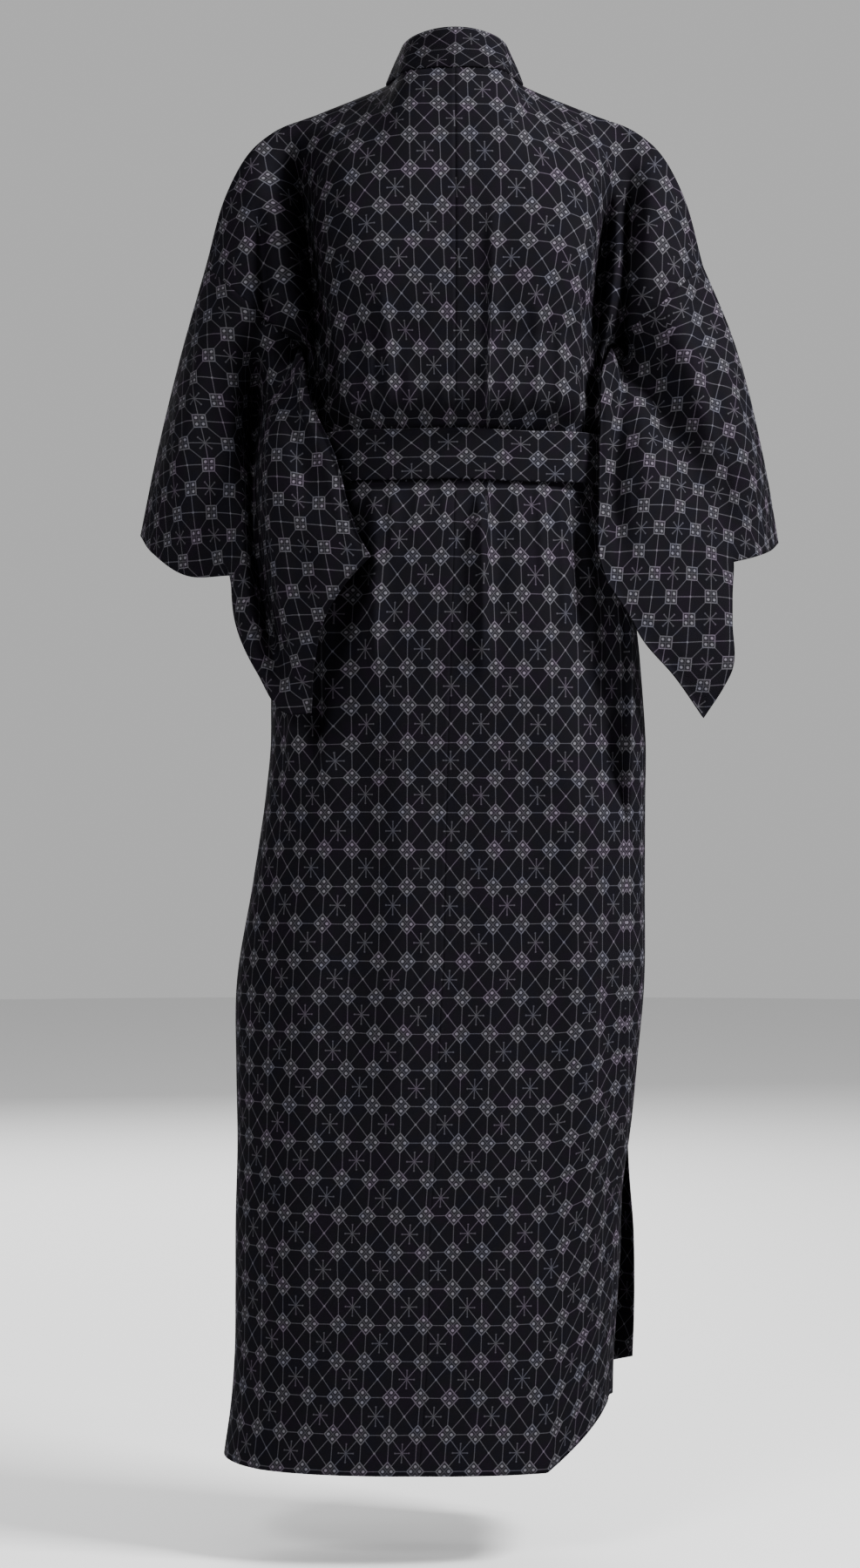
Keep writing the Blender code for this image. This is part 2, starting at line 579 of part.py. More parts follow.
def belt_band(collection):
    """One turn of the folded belt over the waist, a closed band of four faces round."""
    waist = section_at((BELT_TOP + BELT_BOTTOM) / 2)
    turn = ring(waist)[1][-1]
    around = np.arange(BELT_STEPS) / BELT_STEPS * turn
    clear = BELT_CLEAR + LAP_OUT * ease((BELT_OVERLAP - abs(around - turn / 2)) / BELT_EASE)
    rows = []
    for height, out in ((BELT_TOP, BELT_WALL), (BELT_BOTTOM, BELT_WALL), (BELT_BOTTOM, 0), (BELT_TOP, 0)):
        rows.append(walk(dict(waist, height=height), "left", around, clear + out))
    index = np.arange(4 * BELT_STEPS).reshape(4, BELT_STEPS)
    below, beside = np.roll(index, -1, axis=0), np.roll(index, -1, axis=1)
    faces = np.stack([index, beside, np.roll(below, -1, axis=1), below], axis=-1).reshape(-1, 4)
    obj = add_object("belt", np.concatenate(rows), faces, "belt", collection)
    tidy_normals(obj)


def belt_knot(collection):
    """A soft squarish lump of wrapped belt in front of the band."""
    angle = np.arange(KNOT["steps"]) / KNOT["steps"] * 2 * np.pi
    power = 2 / KNOT["roundness"]
    across = KNOT["half_width"] * np.sign(np.cos(angle)) * abs(np.cos(angle))**power
    up = KNOT["half_height"] * np.sign(np.sin(angle)) * abs(np.sin(angle))**power
    middle = (BELT_TOP + BELT_BOTTOM) / 2
    near = -belt_front(middle) - KNOT["clear"]
    rows = [np.stack([share * across, np.full_like(across, near - depth * KNOT["depth"]),
                      middle + share * up], axis=1) for share, depth in KNOT_PROFILE]
    steps = KNOT["steps"]
    points = np.concatenate(rows)
    quads = grid_quads(len(rows), steps, 0, False)
    last = np.arange(len(rows)) * steps + steps - 1
    first = np.arange(len(rows)) * steps
    seam = np.stack([last[:-1], last[1:], first[1:], first[:-1]], axis=-1)
    points, faces = weld(points, np.concatenate([quads, seam]))
    obj = add_object("belt_knot", points, faces, "belt", collection)
    tidy_normals(obj)


def belt_end(end):
    """The outer face of one hanging end, laid on the front below the knot."""
    top = BELT_BOTTOM - END_DROP
    rows = []
    for k in range(END_ROWS + 1):
        t = k / END_ROWS
        section = section_at(top - t * end["length"])
        middle = end["offset_top"] + t * (end["offset_tip"] - end["offset_top"])
        spread = ease(END_SPREAD * t) * (end["width_tip"] - end["width_top"])
        half = (end["width_top"] + spread) / 2
        place = centre_front(section, "left") + middle + half * np.linspace(-1, 1, END_ACROSS + 1)
        out = LAP_OUT + BELT_CLEAR + END_WALL + (end["layer"] - 1) * END_LAYER
        rows.append(walk(section, "left", place, out))
    return weld(np.concatenate(rows), grid_quads(END_ROWS + 1, END_ACROSS + 1, 0, True))


def tidy_normals(obj):
    shape = bmesh.new()
    shape.from_mesh(obj.data)
    bmesh.ops.recalc_face_normals(shape, faces=shape.faces)
    shape.to_mesh(obj.data)
    shape.free()


def main():
    for obj in list(bpy.data.objects):
        bpy.data.objects.remove(obj, do_unlink=True)
    collection = bpy.data.collections.new(COLLECTION)
    bpy.context.scene.collection.children.link(collection)
    pieces = {
        "body_left": body_piece("left"),
        "body_right": body_piece("right"),
        "overlap_left": overlap_piece("left"),
        "overlap_right": overlap_piece("right"),
        "sleeve_left": sleeve_piece("left"),
        "sleeve_right": sleeve_piece("right"),
        "collar": collar_piece(),
    }
    ends = {end["name"]: belt_end(end) for end in BELT_ENDS}
    sums = shared_normals({**pieces, **ends})
    seams = shared_seams(pieces)
    for name, (points, faces) in pieces.items():
        kind = "collar" if name == "collar" else "cloth"
        add_wall(name, points, faces, sums, seams, WALL, kind, collection)
    belt_band(collection)
    belt_knot(collection)
    for name, (points, faces) in ends.items():
        add_wall(name, points, faces, sums, seams, END_WALL, "belt", collection)


main()
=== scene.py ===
"""A worn cotton yukata robe with its tied belt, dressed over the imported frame.

Metres. The front faces -Y, the wearer's left is +X and the shoulders are at height 0.
"""
import functools

import bmesh
import bpy
import numpy as np
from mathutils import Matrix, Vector


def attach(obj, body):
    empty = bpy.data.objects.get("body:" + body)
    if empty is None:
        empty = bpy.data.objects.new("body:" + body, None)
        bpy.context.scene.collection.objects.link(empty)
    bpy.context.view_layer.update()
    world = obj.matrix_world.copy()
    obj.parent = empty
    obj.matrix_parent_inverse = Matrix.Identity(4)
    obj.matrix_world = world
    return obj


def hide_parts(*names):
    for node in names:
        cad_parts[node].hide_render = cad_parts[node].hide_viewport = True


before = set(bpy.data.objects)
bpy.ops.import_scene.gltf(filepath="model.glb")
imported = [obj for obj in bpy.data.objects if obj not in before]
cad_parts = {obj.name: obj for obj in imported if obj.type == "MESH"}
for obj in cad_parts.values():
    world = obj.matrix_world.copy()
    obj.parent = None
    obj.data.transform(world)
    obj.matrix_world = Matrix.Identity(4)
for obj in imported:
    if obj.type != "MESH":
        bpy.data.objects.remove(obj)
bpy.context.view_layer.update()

# The body lengths. Each is one long panel of dark cotton, back and front in one, folded at
# the shoulder, seamed to its twin down the centre back and to itself at the side.
ROUNDNESS = 2.3          # exponent of the level sections, 2 is an ellipse
LAP_OUT = 0.0035         # the left front stands out over the ring
LAP_IN = -0.0040         # the right front lies in under it
COLLAR_WIDTH = 0.058
ARMHOLE_FOOT = -0.280
BELT_MIDDLE = -0.4005
BELT_HALF = 0.026
COLLAR_END = -0.750
HEM = -1.450
HEM_FREE_FROM = -0.953   # below this the hem tilts
CLOTH = 0.0007           # thickness of the cotton
RING_STEPS = 1440        # points round a level ring, a multiple of four
REACH = 0.002            # how far to each side a ring's direction is taken
LAP_FADE = 5 / 14        # how far from a front's inner edge its lap fades, in shares of the width

SHOULDER_ROWS = 48
COLLAR_ROWS = 95         # from the foot of the armhole to the end of the collar
SKIRT_ROWS = 141
BACK_COLUMNS = 84
NECK_SHARE = 4 / 14      # the collar's seam on the shoulder fold, in shares of the panel

SECTION_COLUMNS = ("height", "half_width", "back", "front", "centre_x", "seam_x",
                   "side_left", "side_right", "gore_left", "edge_left",
                   "gore_right", "edge_right", "flare")
SECTIONS = np.array((
    (-0.280, 0.1660, 0.122, 0.128, 0.0000, 0.000, 0.235, 0.235, 0.001, 0.005, 0.001, 0.005, 0.0),
    (-0.318, 0.1680, 0.124, 0.127, 0.0000, 0.000, 0.240, 0.232, 0.006, 0.020, -0.002, 0.016, 0.0),
    (-0.352, 0.1680, 0.119, 0.124, 0.0000, 0.000, 0.243, 0.226, 0.010, 0.032, -0.005, 0.026, 0.0),
    (-0.370, 0.1570, 0.099, 0.111, 0.0000, 0.000, 0.238, 0.220, 0.012, 0.038, -0.007, 0.030, 0.0),
    (-0.400, 0.1570, 0.099, 0.111, 0.0000, 0.000, 0.238, 0.218, 0.015, 0.048, -0.009, 0.035, 0.0),
    (-0.431, 0.1570, 0.099, 0.111, 0.0000, 0.000, 0.240, 0.216, 0.019, 0.058, -0.011, 0.040, 0.0),
    (-0.455, 0.1680, 0.112, 0.118, 0.0000, 0.001, 0.246, 0.213, 0.022, 0.066, -0.014, 0.043, 0.0),
    (-0.505, 0.1810, 0.124, 0.123, -0.001, 0.002, 0.255, 0.210, 0.026, 0.082, -0.018, 0.047, 0.0),
    (-0.570, 0.1910, 0.130, 0.124, -0.002, 0.004, 0.262, 0.206, 0.031, 0.099, -0.022, 0.052, 0.0),
    (-0.640, 0.1970, 0.129, 0.122, -0.003, 0.006, 0.268, 0.203, 0.035, 0.116, -0.026, 0.056, 0.0),
    (-0.703, 0.1994, 0.126, 0.120, -0.0046, 0.008, 0.272, 0.201, 0.038, 0.130, -0.029, 0.059, 0.0),
    (-0.750, 0.2015, 0.124, 0.119, -0.002, 0.009, 0.275, 0.201, 0.040, 0.138, -0.031, 0.060, 0.0),
    (-0.842, 0.2080, 0.122, 0.119, 0.0050, 0.011, 0.280, 0.203, 0.044, 0.148, -0.035, 0.060, 0.0),
    (-0.953, 0.2164, 0.121, 0.119, 0.0143, 0.013, 0.285, 0.206, 0.049, 0.158, -0.039, 0.058, 0.0),
    (-1.040, 0.2130, 0.120, 0.118, 0.0180, 0.015, 0.289, 0.210, 0.053, 0.164, -0.042, 0.056, 0.0),
    (-1.119, 0.2090, 0.120, 0.117, 0.0208, 0.016, 0.292, 0.215, 0.056, 0.168, -0.044, 0.055, 0.002),
    (-1.202, 0.2050, 0.120, 0.117, 0.0268, 0.018, 0.295, 0.221, 0.059, 0.171, -0.046, 0.054, 0.012),
    (-1.280, 0.2040, 0.121, 0.117, 0.0280, 0.019, 0.297, 0.226, 0.061, 0.173, -0.048, 0.053, 0.018),
    (-1.340, 0.2026, 0.121, 0.117, 0.0300, 0.020, 0.299, 0.229, 0.063, 0.175, -0.049, 0.052, 0.021),
    (-1.400, 0.2030, 0.122, 0.117, 0.0340, 0.021, 0.300, 0.232, 0.064, 0.176, -0.050, 0.052, 0.024),
    (-1.450, 0.2060, 0.124, 0.118, 0.0380, 0.022, 0.300, 0.234, 0.065, 0.176, -0.050, 0.052, 0.025),
))

# Height of the hem at the centre back, part of the way to the side, at the side seam, gore
# seam and free edge. The right back corner is turned up.
HEM_CORNER = 0.58
HEM_HEIGHTS = {
    "left": (-1.448, -1.449, -1.445, -1.412, -1.353),
    "right": (-1.448, -1.449, -1.380, -1.400, -1.415),
}

# Stations across the shoulder for the wearer's left: share of the panel's width, place on
# the shoulder fold, place halfway down the armhole. The right is their mirror image.
BACK_STATIONS = (
    (0 / 14, (0.000, 0.060, 0.007), (0.000, 0.112, -0.130)),
    (2 / 14, (0.048, 0.044, 0.007), (0.048, 0.113, -0.130)),
    (4 / 14, (0.072, 0.000, 0.000), (0.094, 0.106, -0.132)),
    (7 / 14, (0.146, 0.000, -0.031), (0.146, 0.078, -0.148)),
    (9 / 14, (0.192, 0.002, -0.050), (0.162, 0.034, -0.168)),
    (10.5 / 14, (0.220, 0.002, -0.075), (0.183, 0.056, -0.186)),
    (12 / 14, (0.243, 0.000, -0.118), (0.204, 0.050, -0.206)),
    (14 / 14, (0.264, -0.008, -0.190), (0.218, 0.052, -0.236)),
)
FRONT_STATIONS = (
    (4 / 14, (0.072, 0.000, 0.000), (0.043, -0.100, -0.130)),
    (7 / 14, (0.146, 0.000, -0.031), (0.136, -0.088, -0.146)),
    (9 / 14, (0.192, 0.002, -0.050), (0.162, -0.044, -0.168)),
    (10.5 / 14, (0.220, 0.002, -0.075), (0.184, -0.060, -0.186)),
    (12 / 14, (0.243, 0.000, -0.118), (0.206, -0.058, -0.206)),
    (14 / 14, (0.264, -0.008, -0.190), (0.218, -0.058, -0.236)),
)


def through(knots, places, at):
    """A smooth curve through places at knots: Hermite cubics with averaged slopes."""
    knots = np.asarray(knots, float)
    places = np.asarray(places, float)
    slope = np.gradient(places, knots, axis=0)
    at = np.clip(np.asarray(at, float), knots[0], knots[-1])
    cell = np.clip(np.searchsorted(knots, at, side="right") - 1, 0, len(knots) - 2)
    span = (knots[cell + 1] - knots[cell])[:, None]
    t = (at - knots[cell])[:, None] / span
    return ((2 * t**3 - 3 * t**2 + 1) * places[cell] + (t**3 - 2 * t**2 + t) * span * slope[cell]
            + (3 * t**2 - 2 * t**3) * places[cell + 1] + (t**3 - t**2) * span * slope[cell + 1])


def ease(t):
    """0 to 1 with level ends: 3 t squared less 2 t cubed."""
    t = np.clip(t, 0.0, 1.0)
    return t * t * (3 - 2 * t)


def between(top, mid, low, t):
    """The parabola through top, mid and low at 0, a half and 1."""
    return (2 * (t - 0.5) * (t - 1)) * top + (4 * t * (1 - t)) * mid + (2 * t * (t - 0.5)) * low


def read(at, length, values):
    """Each row of values read where its running length is at."""
    return np.stack([np.interp(*row) for row in zip(at, length, values)])


def sections(heights):
    """The section table read at heights by smooth cubics, as one array for each column."""
    rows = SECTIONS[::-1]
    return dict(zip(SECTION_COLUMNS, through(rows[:, 0], rows, heights).T))


def rings(section):
    """Level superellipses from the centre back round by +X, with their running length."""
    angle = np.linspace(0, 2 * np.pi, RING_STEPS + 1)
    sine, cosine = np.sin(angle), np.cos(angle)
    power = 2 / ROUNDNESS
    depth = np.where(cosine > 0, section["back"][:, None], section["front"][:, None])
    x = section["centre_x"][:, None] + section["half_width"][:, None] * np.sign(sine) * abs(sine)**power
    y = depth * np.sign(cosine) * abs(cosine)**power
    step = np.hypot(np.diff(x, axis=1), np.diff(y, axis=1))
    length = np.concatenate([np.zeros((len(x), 1)), np.cumsum(step, axis=1)], axis=1)
    return x, y, length


def seam_start(section, x, length):
    """Running length of the centre-back seam on each ring."""
    quarter = RING_STEPS // 4
    return np.array([np.interp(seam, across[:quarter], along[:quarter])
                     for seam, across, along in zip(section["seam_x"], x, length)])


def marks(section, side):
    """Cloth lengths from the centre-back seam to each sewing line, one array for each."""
    x, y, length = rings(section)
    start = seam_start(section, x, length)
    half, turn = length[:, RING_STEPS // 2], length[:, -1]
    front = half - start if side == "left" else turn - half + start
    edge = front + section["edge_" + side]
    return {"centre": np.zeros_like(front), "side": section["side_" + side],
            "gore": front + section["gore_" + side], "edge": edge, "free": edge + COLLAR_WIDTH}


def off_ring(x, y, length, at, push):
    """Level places at running lengths at on the rings, moved outward by push."""
    turn = length[:, -1:]
    ahead = np.stack([read((at + REACH) % turn, length, v) - read((at - REACH) % turn, length, v)
                      for v in (x, y)], axis=-1)
    ahead /= np.linalg.norm(ahead, axis=-1, keepdims=True)
    return np.stack([read(at, length, x) - ahead[..., 1] * push,
                     read(at, length, y) + ahead[..., 0] * push], axis=-1)


def draped(heights, side, place):
    """Points of the worn cloth at heights, place metres from the centre-back seam.

    Each point lies on its level ring, moved out by the lap of the fronts and the flare of
    the free corner, and down to the tilted hem.
    """
    section = sections(heights)
    x, y, length = rings(section)
    sign = 1 if side == "left" else -1
    at = (seam_start(section, x, length)[:, None] + sign * place) % length[:, -1:]
    sewn = {name: line[:, None] for name, line in marks(section, side).items()}
    full = LAP_OUT if side == "left" else LAP_IN
    push = full * ease((place - sewn["side"]) / (0.45 * (sewn["gore"] - sewn["side"])))
    if side == "left":
        beyond = np.clip((place - sewn["gore"]) / (sewn["free"] - sewn["gore"]), 0, 1)
        push = push + section["flare"][:, None] * beyond**2
    lines = np.concatenate([sewn["centre"], HEM_CORNER * sewn["side"], sewn["side"], sewn["gore"],
                            sewn["free"]], axis=1)
    hem = np.stack([np.interp(row, line, HEM_HEIGHTS[side]) for row, line in zip(place, lines)])
    z = np.repeat(heights[:, None], place.shape[1], axis=1)
    tilted = HEM_FREE_FROM + (z - HEM_FREE_FROM) * (hem - HEM_FREE_FROM) / (HEM - HEM_FREE_FROM)
    z = np.where(z < HEM_FREE_FROM, tilted, z)
    return np.concatenate([off_ring(x, y, length, at, push), z[..., None]], axis=-1)


def body_heights():
    """Heights of the body's level rows, from the foot of the armhole to the hem."""
    return np.concatenate([np.linspace(ARMHOLE_FOOT, COLLAR_END, COLLAR_ROWS + 1),
                           np.linspace(COLLAR_END, HEM, SKIRT_ROWS + 1)[1:]])


def strip(side, start, end, columns, heights):
    """Panel grid from one sewing line to the next, and its cloth places."""
    sewn = marks(sections(heights), side)
    share = np.linspace(0, 1, columns + 1)[None, :]
    place = sewn[start][:, None] * (1 - share) + sewn[end][:, None] * share
    return draped(heights, side, place), place


def shoulder(stations, low_row, shares, side, lap):
    """Rows from the shoulder fold down to the foot of the armhole.

    Each row is a smooth curve across the stations, and each station is the parabola from
    the fold through its middle place to the first level row.
    """
    mirror = np.array([1 if side == "left" else -1, 1, 1])
    knots = [station[0] for station in stations]
    top = np.array([station[1] for station in stations]) * mirror
    mid = np.array([station[2] for station in stations]) * mirror
    low = through(shares, low_row, knots)
    near = ease(1 - (shares - shares[0]) / LAP_FADE)
    rows = []
    for t in np.arange(SHOULDER_ROWS) / SHOULDER_ROWS:
        row = through(knots, between(top, mid, low, t), shares)
        row[:, 1] -= lap * ease(2 * t) * (1 - t) * near
        rows.append(row)
    return np.array(rows)


def body_length(side):
    """Back and front grids of one body length, rows from the fold to the hem."""
    shares = np.linspace(0, 1, BACK_COLUMNS + 1)
    first = int(NECK_SHARE * BACK_COLUMNS)
    lap = LAP_OUT if side == "left" else LAP_IN
    heights = body_heights()
    back, _ = strip(side, "centre", "side", BACK_COLUMNS, heights)
    front, _ = strip(side, "side", "gore", BACK_COLUMNS - first, heights)
    front = front[:, ::-1]
    back = np.concatenate([shoulder(BACK_STATIONS, back[0], shares, side, 0.0), back])
    front = np.concatenate([shoulder(FRONT_STATIONS, front[0], shares[first:], side, lap), front])
    front[0] = back[0, first:]
    return back, front


def running(grid, axis):
    """Running length of the cloth along one way of a grid."""
    step = np.linalg.norm(np.diff(grid, axis=axis), axis=-1)
    return np.insert(np.cumsum(step, axis=axis), 0, 0.0, axis=axis)


COARSE = 6               # the first relaxing takes every sixth row and column
COARSE_ROUNDS, FINE_ROUNDS = 400, 60
PULL = 0.13              # share of an edge's error that one round takes off at each end
NEIGHBOURS = 12          # points round a lozenge that say where it lies on the cut cloth


def laid_flat(grid, pin, straight):
    """A grid unrolled on the table: every edge and diagonal drawn towards its true length.

    Returns the length down the rows and across the columns. It starts from the running
    lengths with column pin straight, is relaxed on every sixth row and column first and
    then once more in full, and straight tells whether column pin stays as it is.
    """
    columns = np.unique(np.concatenate([np.arange(0, grid.shape[1], COARSE), [pin, grid.shape[1] - 1]]))
    rows = np.unique(np.append(np.arange(0, grid.shape[0], COARSE), grid.shape[0] - 1))

    def relaxed(places, points, held, times):
        """The flat places after some rounds of drawing each edge to its length on points."""
        places = places.copy()
        pinned = places[:, held].copy()
        pairs = (((slice(1, None), slice(None)), (slice(None, -1), slice(None))),
                 ((slice(None), slice(1, None)), (slice(None), slice(None, -1))),
                 ((slice(1, None), slice(1, None)), (slice(None, -1), slice(None, -1))),
                 ((slice(1, None), slice(None, -1)), (slice(None, -1), slice(1, None))))
        true = [np.linalg.norm(points[one] - points[two], axis=-1) for one, two in pairs]
        for _ in range(times):
            moved = np.zeros_like(places)
            for (one, two), length in zip(pairs, true):
                gap = places[one] - places[two]
                now = np.linalg.norm(gap, axis=-1)
                pull = gap * ((now - length) / np.maximum(now, 1e-9))[..., None] * PULL
                moved[one] -= pull
                moved[two] += pull
            places += moved
            if straight:
                places[:, held] = pinned
        return places

    coarse = grid[np.ix_(rows, columns)]
    held = int(np.searchsorted(columns, pin))
    flat = np.stack([running(coarse, 0), running(coarse, 1)], axis=-1)
    flat[..., 1] -= flat[:, held:held + 1, 1]
    flat[..., 0] = flat[:, held:held + 1, 0]
    flat = relaxed(flat, coarse, held, COARSE_ROUNDS)
    wide = np.stack([read(np.tile(np.arange(grid.shape[1]), (len(rows), 1)),
                          np.tile(columns, (len(rows), 1)), flat[..., k]) for k in (0, 1)], axis=-1)
    full = np.stack([read(np.tile(np.arange(grid.shape[0]), (grid.shape[1], 1)),
                          np.tile(rows, (grid.shape[1], 1)), wide[..., k].T).T for k in (0, 1)], axis=-1)
    return relaxed(full, grid, pin, FINE_ROUNDS)


def registered(flat, part, grid, lozenge, weft_to, warp_to):
    """The flat places turned and moved so that the print lies as charted.

    lozenge, weft_to and warp_to are places (across, height) of three neighbouring lozenges
    on the back layer grid, whose own flat places are part.
    """
    spots = []
    for spot in (lozenge, weft_to, warp_to):
        far = np.hypot(grid[..., 0] - spot[0], grid[..., 2] - spot[1])
        near = np.argsort(far, axis=None)[:NEIGHBOURS]
        plan = np.column_stack([grid.reshape(-1, 3)[near][:, [0, 2]], np.ones(NEIGHBOURS)])
        fit = np.linalg.lstsq(plan, part.reshape(-1, 2)[near], rcond=None)[0]
        spots.append(np.array([*spot, 1.0]) @ fit)
    weft = (spots[1] - spots[0]) / np.linalg.norm(spots[1] - spots[0])
    warp = np.array([-weft[1], weft[0]])
    warp *= np.sign((spots[2] - spots[0]) @ warp)
    return np.stack([(flat - spots[0]) @ weft, (flat - spots[0]) @ warp], axis=-1)


def outward(grid, flip):
    """Unit normals of a grid, from the cross product of its two ways."""
    normal = np.cross(np.gradient(grid, axis=0), np.gradient(grid, axis=1))
    normal /= np.linalg.norm(normal, axis=-1, keepdims=True) + 1e-12
    return -normal if flip else normal


def beside(across, height, x0, z0, x1, z1, bow=0.0):
    """How far along a bowed line each point lies, 0 to 1, and how far to its side."""
    length = np.hypot(x1 - x0, z1 - z0)
    ux, uz = (x1 - x0) / length, (z1 - z0) / length
    t = ((across - x0) * ux + (height - z0) * uz) / length
    return t, (across - x0) * uz - (height - z0) * ux - bow * 4 * t * (1 - t)


def creases(across, height, table):
    """Outward push of the listed creases.

    Each row gives two ends (across, height), a sideways bow, a half width, a depth and a
    lean. A crease is a bell curve across its bowed line, steeper on the side it leans to,
    and fades out towards both ends.
    """
    push = np.zeros_like(across)
    for *line, width, depth, lean in table:
        t, off = beside(across, height, *line)
        half = width * (1 + lean * np.tanh(off / width))
        push += depth * np.exp(-(off / half)**2) * ease(4 * t) * ease(4 * (1 - t))
    return push


def tucks(points, table):
    """Deep folds, seen from behind: the cloth sinks in along -Y and a lip hangs over it.

    Each row gives two ends (across, height), a sideways bow, a half width, a depth and how
    far the cloth on the outer side is drawn over the fold. Both fade towards the ends.
    """
    moved = np.zeros_like(points)
    for *line, width, depth, over in table:
        t, off = beside(points[..., 0], points[..., 2], *line)
        fade = ease(4 * t) * ease(4 * (1 - t))
        moved[..., 1] -= depth * np.exp(-(off / width)**2) * fade
        moved[..., 0] -= over * np.exp(-((off + np.sign(over) * width) / width)**2) * fade
    return moved


def grid_faces(rows, columns, start, flip):
    """Quads of a grid whose points begin at index start."""
    index = np.arange(rows * columns).reshape(rows, columns) + start
    quads = np.stack([index[:-1, :-1], index[1:, :-1], index[1:, 1:], index[:-1, 1:]], axis=-1)
    quads = quads.reshape(-1, 4)
    return quads[:, ::-1] if flip else quads


def sew(name, grids, material, thickness=CLOTH, loose=1e-5):
    """One piece of cloth from grids of (points, cloth places, flip), joined where they meet.

    The cloth places, in metres of weft and warp, become its UV map.
    """
    points = np.concatenate([grid.reshape(-1, 3) for grid, _, _ in grids])
    places = np.concatenate([flat.reshape(-1, 2) for _, flat, _ in grids])
    faces, start = [], 0
    for grid, _, flip in grids:
        faces.append(grid_faces(grid.shape[0], grid.shape[1], start, flip))
        start += grid.shape[0] * grid.shape[1]
    faces = np.concatenate(faces)
    mesh = bpy.data.meshes.new(name)
    mesh.from_pydata(points, [], faces)
    layer = mesh.uv_layers.new(name="cloth")
    layer.data.foreach_set("uv", places[faces.reshape(-1)].astype(np.float32).reshape(-1))
    shape = bmesh.new()
    shape.from_mesh(mesh)
    bmesh.ops.remove_doubles(shape, verts=shape.verts, dist=loose)
    shape.to_mesh(mesh)
    shape.free()
    mesh.shade_smooth()
    mesh.materials.append(material)
    obj = bpy.data.objects.new(name, mesh)
    bpy.context.scene.collection.objects.link(obj)
    if thickness:
        wall = obj.modifiers.new("thickness", "SOLIDIFY")
        wall.thickness = thickness
        wall.offset = -1
    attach(obj, "root")
    return obj


def node(tree, kind, *inputs, **settings):
    """A shader node. Its first inputs are given in order, as sockets or values, None to skip."""
    made = tree.nodes.new("ShaderNode" + kind)
    for name, setting in settings.items():
        setattr(made, name, setting)
    for socket, given in zip(made.inputs, inputs):
        if isinstance(given, bpy.types.NodeSocket):
            tree.links.new(given, socket)
        elif given is not None:
            socket.default_value = given
    return made


def value(tree, operation, *inputs, clamp=False):
    """One Math node over sockets or numbers."""
    return node(tree, "Math", *inputs, operation=operation, use_clamp=clamp).outputs[0]


def mixed(tree, share, first, second, **settings):
    """Two colours mixed: the factor is input 0, and the colours are inputs 6 and 7."""
    return node(tree, "Mix", share, *[None] * 5, first, second, data_type="RGBA", **settings).outputs[2]


def stroke(tree, distance, half, soft=0.00022):
    """1 within half of a line, 0 outside it, with a soft edge."""
    return value(tree, "MULTIPLY_ADD", distance, -0.5 / soft, (half + soft) * 0.5 / soft, clamp=True)


PITCH_WEFT, PITCH_WARP = 0.0296, 0.0372      # from one lozenge to the next
LOZENGE_WEFT, LOZENGE_WARP = 0.0087, 0.0098  # half sizes of a lozenge
LINE = 0.00055                               # half width of a printed line
BEAD = 0.00150                               # radius of the printed dots


def lattice(tree, u, v):
    """The printed lattice at cloth place (u, v): how much ink lies there, 0 to 1.

    Lozenges stand at every crossing of the two pitches. Each is split by a fine cross into
    four, with a bead in each. Level and upright links join them, and slanting lines run
    to the middles between four lozenges, where a plain bead and an eight-rayed star
    take turns.
    """
    add, take, times, over, least, most, size, below, above, root, floored, folded = (
        functools.partial(value, tree, operation) for operation in
        ("ADD", "SUBTRACT", "MULTIPLY", "DIVIDE", "MINIMUM", "MAXIMUM", "ABSOLUTE", "LESS_THAN",
         "GREATER_THAN", "SQRT", "FLOOR", "PINGPONG"))

    def away(ox, oy, sx, sy):
        """Distance of (sx, sy) from the fixed place (ox, oy)."""
        dx, dy = take(sx, ox), take(sy, oy)
        return root(add(times(dx, dx), times(dy, dy)))

    x, y = folded(u, PITCH_WEFT / 2), folded(v, PITCH_WARP / 2)
    qx, qy = over(x, LOZENGE_WEFT), over(y, LOZENGE_WARP)
    around = add(qx, qy)
    slope = float(np.hypot(1 / LOZENGE_WEFT, 1 / LOZENGE_WARP))
    inside, outside = below(around, 1.0), above(around, 1.0)
    rim = over(size(take(around, 1.0)), slope)
    split = over(size(take(qx, qy)), slope)
    beads = least(away(LOZENGE_WEFT * 0.52, 0.0, x, y), away(0.0, LOZENGE_WARP * 0.50, x, y))
    diagonal = float(np.hypot(PITCH_WEFT, PITCH_WARP))
    slant = size(take(times(x, PITCH_WARP / diagonal), times(y, PITCH_WEFT / diagonal)))
    # from the middle between four lozenges, plain and starred in turn
    mx, my = take(PITCH_WEFT / 2, x), take(PITCH_WARP / 2, y)
    star = folded(add(floored(over(u, PITCH_WEFT)), floored(over(v, PITCH_WARP))), 1.0)
    level, upright = PITCH_WEFT / 4, PITCH_WARP / 4
    near = below(add(over(mx, level), over(my, upright)), 1.0)
    tips = least(away(level, 0.0, mx, my), away(0.0, upright, mx, my))
    parts = (
        (stroke(tree, rim, LINE), 0.60),
        (times(stroke(tree, split, LINE * 0.6), inside), 0.40),
        (inside, 0.10),
        (stroke(tree, beads, BEAD), 1.0),
        (times(stroke(tree, least(x, y), LINE * 0.75), outside), 0.36),
        (times(stroke(tree, slant, LINE * 0.75), outside), 0.42),
        (times(times(stroke(tree, least(mx, my), LINE), near), star), 0.30),
        (times(stroke(tree, tips, BEAD * 0.6), star), 0.36),
        (times(stroke(tree, away(0.0, 0.0, mx, my), BEAD * 0.75), take(1.0, star)), 0.75),
    )
    return functools.reduce(most, [times(part, strength) for part, strength in parts])


WANDER = 0.005                               # how far the printing strays with the cloth
YARN = 0.0009                                # two threads of the weave
# faint blue, green and violet casts: place on the ramp, colour
CASTS = ((0.36, (0.92, 0.96, 1.05)), (0.50, (0.98, 1.00, 0.98)), (0.64, (1.09, 0.95, 1.10)))


